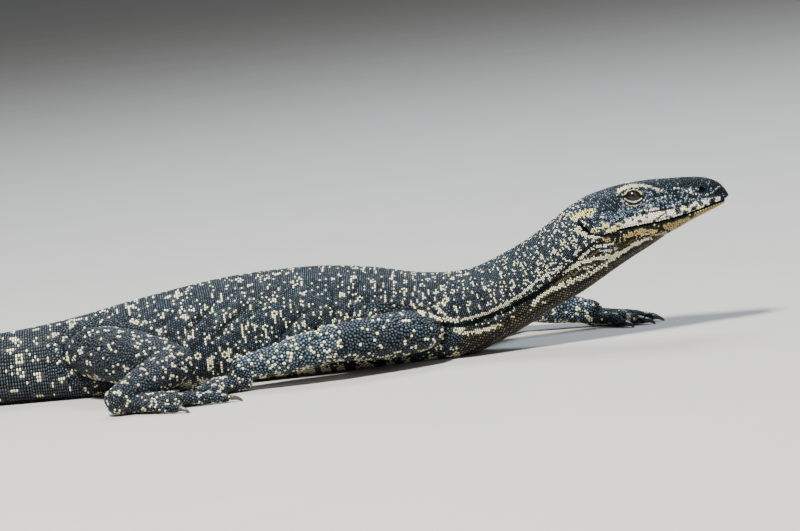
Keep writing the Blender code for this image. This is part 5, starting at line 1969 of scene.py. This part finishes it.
# %% Make both eyes
PUPIL, IRIS = 2.2, 5.4          # radii in millimetres, from the middle of the pupil on the eye's surface
GAZE = (0.12, 0.02)             # how far each eye looks ahead and up, for a step of 1 to its side
EYE_SEGMENTS, EYE_RINGS = 64, 40
CORNEA = 0.45                   # how far the clear front bulges, in millimetres


def eye_finish(name, pupil_place):
    """A dark iris round a pupil whose middle is at a place on the eye's surface."""
    finish = Finish(name)
    place = finish.place()
    ends = {0: place, 1: tuple(pupil_place)}
    away = finish.node("ShaderNodeVectorMath", {"operation": "DISTANCE"}, ends, output=1)
    fibres = finish.noise(place, 1300.0, 2.0)
    share = (away * (1 / (IRIS * MM)) + (fibres - 0.5) * 0.10).clamped()
    colour = finish.node("ShaderNodeValToRGB", {"stops": [
        (0.0, (0.002, 0.002, 0.002)),
        (PUPIL / IRIS, (0.003, 0.002, 0.002)),
        (PUPIL / IRIS + 0.05, (0.026, 0.014, 0.007)),
        (PUPIL / IRIS + 0.16, (0.010, 0.006, 0.004)),
        (0.80, (0.007, 0.0045, 0.0035)),
        (1.0, (0.006, 0.0045, 0.004)),
    ]}, {"Fac": share})
    return finish.set(base_color=colour, roughness=0.25, specular=0.2, coat=0.5, coat_roughness=0.02)


for side, word in ((1, "left"), (-1, "right")):
    centre = np.array((EYE[0], HEAD_MIDDLE / MM + side * EYE[1], EYE[2])) * MM
    look = np.array((GAZE[0], side, GAZE[1]))
    look /= np.linalg.norm(look)
    bpy.ops.object.select_all(action="DESELECT")
    bpy.ops.mesh.primitive_uv_sphere_add(segments=EYE_SEGMENTS, ring_count=EYE_RINGS, radius=EYE_RADIUS * MM)
    eye = bpy.context.object
    eye.name = f"eyeball_{word}"
    points = points_of(eye)
    facing = points @ look / (EYE_RADIUS * MM)
    front = soft_step(0.72, 0.98, facing) * CORNEA * MM
    points += points / (EYE_RADIUS * MM) * front[:, None]
    move_points(eye, points + centre)
    eye.data.shade_smooth()
    eye.data.materials.append(eye_finish(f"eye_{word}", centre + look * (EYE_RADIUS + CORNEA) * MM))
    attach(eye, "root")
    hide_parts(f"eye_{word}")
print("eyes:", len(eye.data.polygons), "faces each")

# %% [markdown]
# ## The claws
#
# Every claw is the same curved horn. One is modelled at the origin from a circle, extruded again and
# again, turned a little and drawn in each time. The copies are then set on the toes, and on the hand that
# lies palm up they point upwards.

# %% Model one claw
CLAW_LENGTH, CLAW_RADIUS, CLAW_TIP = 11.6, 2.05, 0.16      # millimetres
CLAW_STEPS, CLAW_SIDES = 12, 14
CLAW_BEND = math.radians(66)
CLAW_SUNK = 1.1

horn = Finish("claw_horn")
grown = horn.noise(horn.place(), 500.0, 4.0)
horn.set(
    base_color=horn.mix(grown, (0.012, 0.010, 0.009), (0.075, 0.058, 0.042)),
    roughness=(grown * 0.25 + 0.22).clamped(),
    coat=0.2,
    coat_roughness=0.2,
    normal=horn.bump(grown, 0.3, 0.0003),
)

bpy.ops.object.select_all(action="DESELECT")
bpy.ops.mesh.primitive_circle_add(vertices=CLAW_SIDES, radius=CLAW_RADIUS * MM, fill_type="NGON",
                                  rotation=(0, math.radians(90), 0))
pattern = bpy.context.object
bpy.ops.object.transform_apply(rotation=True)
bpy.ops.object.mode_set(mode="EDIT")
bpy.ops.mesh.select_all(action="SELECT")
bend_before, radius_before, middle = 0.0, CLAW_RADIUS, Vector((0, 0, 0))
for step in range(1, CLAW_STEPS + 1):
    share = (step - 0.5) / CLAW_STEPS
    bend = CLAW_BEND * share ** 1.3
    radius = CLAW_RADIUS * (1 - step / CLAW_STEPS) ** 0.72 + CLAW_TIP
    ahead = Vector((math.cos(bend), 0, -math.sin(bend))) * CLAW_LENGTH / CLAW_STEPS * MM
    middle = middle + ahead
    bpy.ops.mesh.extrude_region_move(TRANSFORM_OT_translate={"value": tuple(ahead)})
    bpy.ops.transform.rotate(value=-(bend - bend_before), orient_axis="Y", center_override=tuple(middle))
    bpy.ops.transform.resize(value=(radius / radius_before,) * 3, center_override=tuple(middle))
    bend_before, radius_before = bend, radius
bpy.ops.mesh.select_all(action="SELECT")
bpy.ops.mesh.normals_make_consistent(inside=False)
bpy.ops.object.mode_set(mode="OBJECT")
claw_points = points_of(pattern)
print("claw reaches, in mm:", np.round(np.abs(claw_points).max(axis=0) / MM, 1))

# %% Set a claw on every finger and toe
claw_count = 0
for kind, front, word, _, _, end, degrees, palm_up in LEGS:
    for number, line in enumerate(toe_plan(kind, word, end, degrees, palm_up)[2], start=1):
        ahead, side, up = frame_along(line[-2], line[-1])
        turn = np.stack([ahead, side, -up] if palm_up else [ahead, -side, up])
        claw = pattern.copy()
        claw.data = pattern.data.copy()
        claw.name = f"horn_{front}_{word}_{number}"
        bpy.context.scene.collection.objects.link(claw)
        start = (line[-1] - ahead * CLAW_SUNK) * MM
        move_points(claw, resting(claw_points @ turn + start, 0.0))
        claw.data.shade_smooth()
        claw.data.materials.append(horn.material)
        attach(claw, "root")
        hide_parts(f"claw_{front}_{word}_{number}")
        claw_count += 1
bpy.data.objects.remove(pattern)
print("claws:", claw_count)
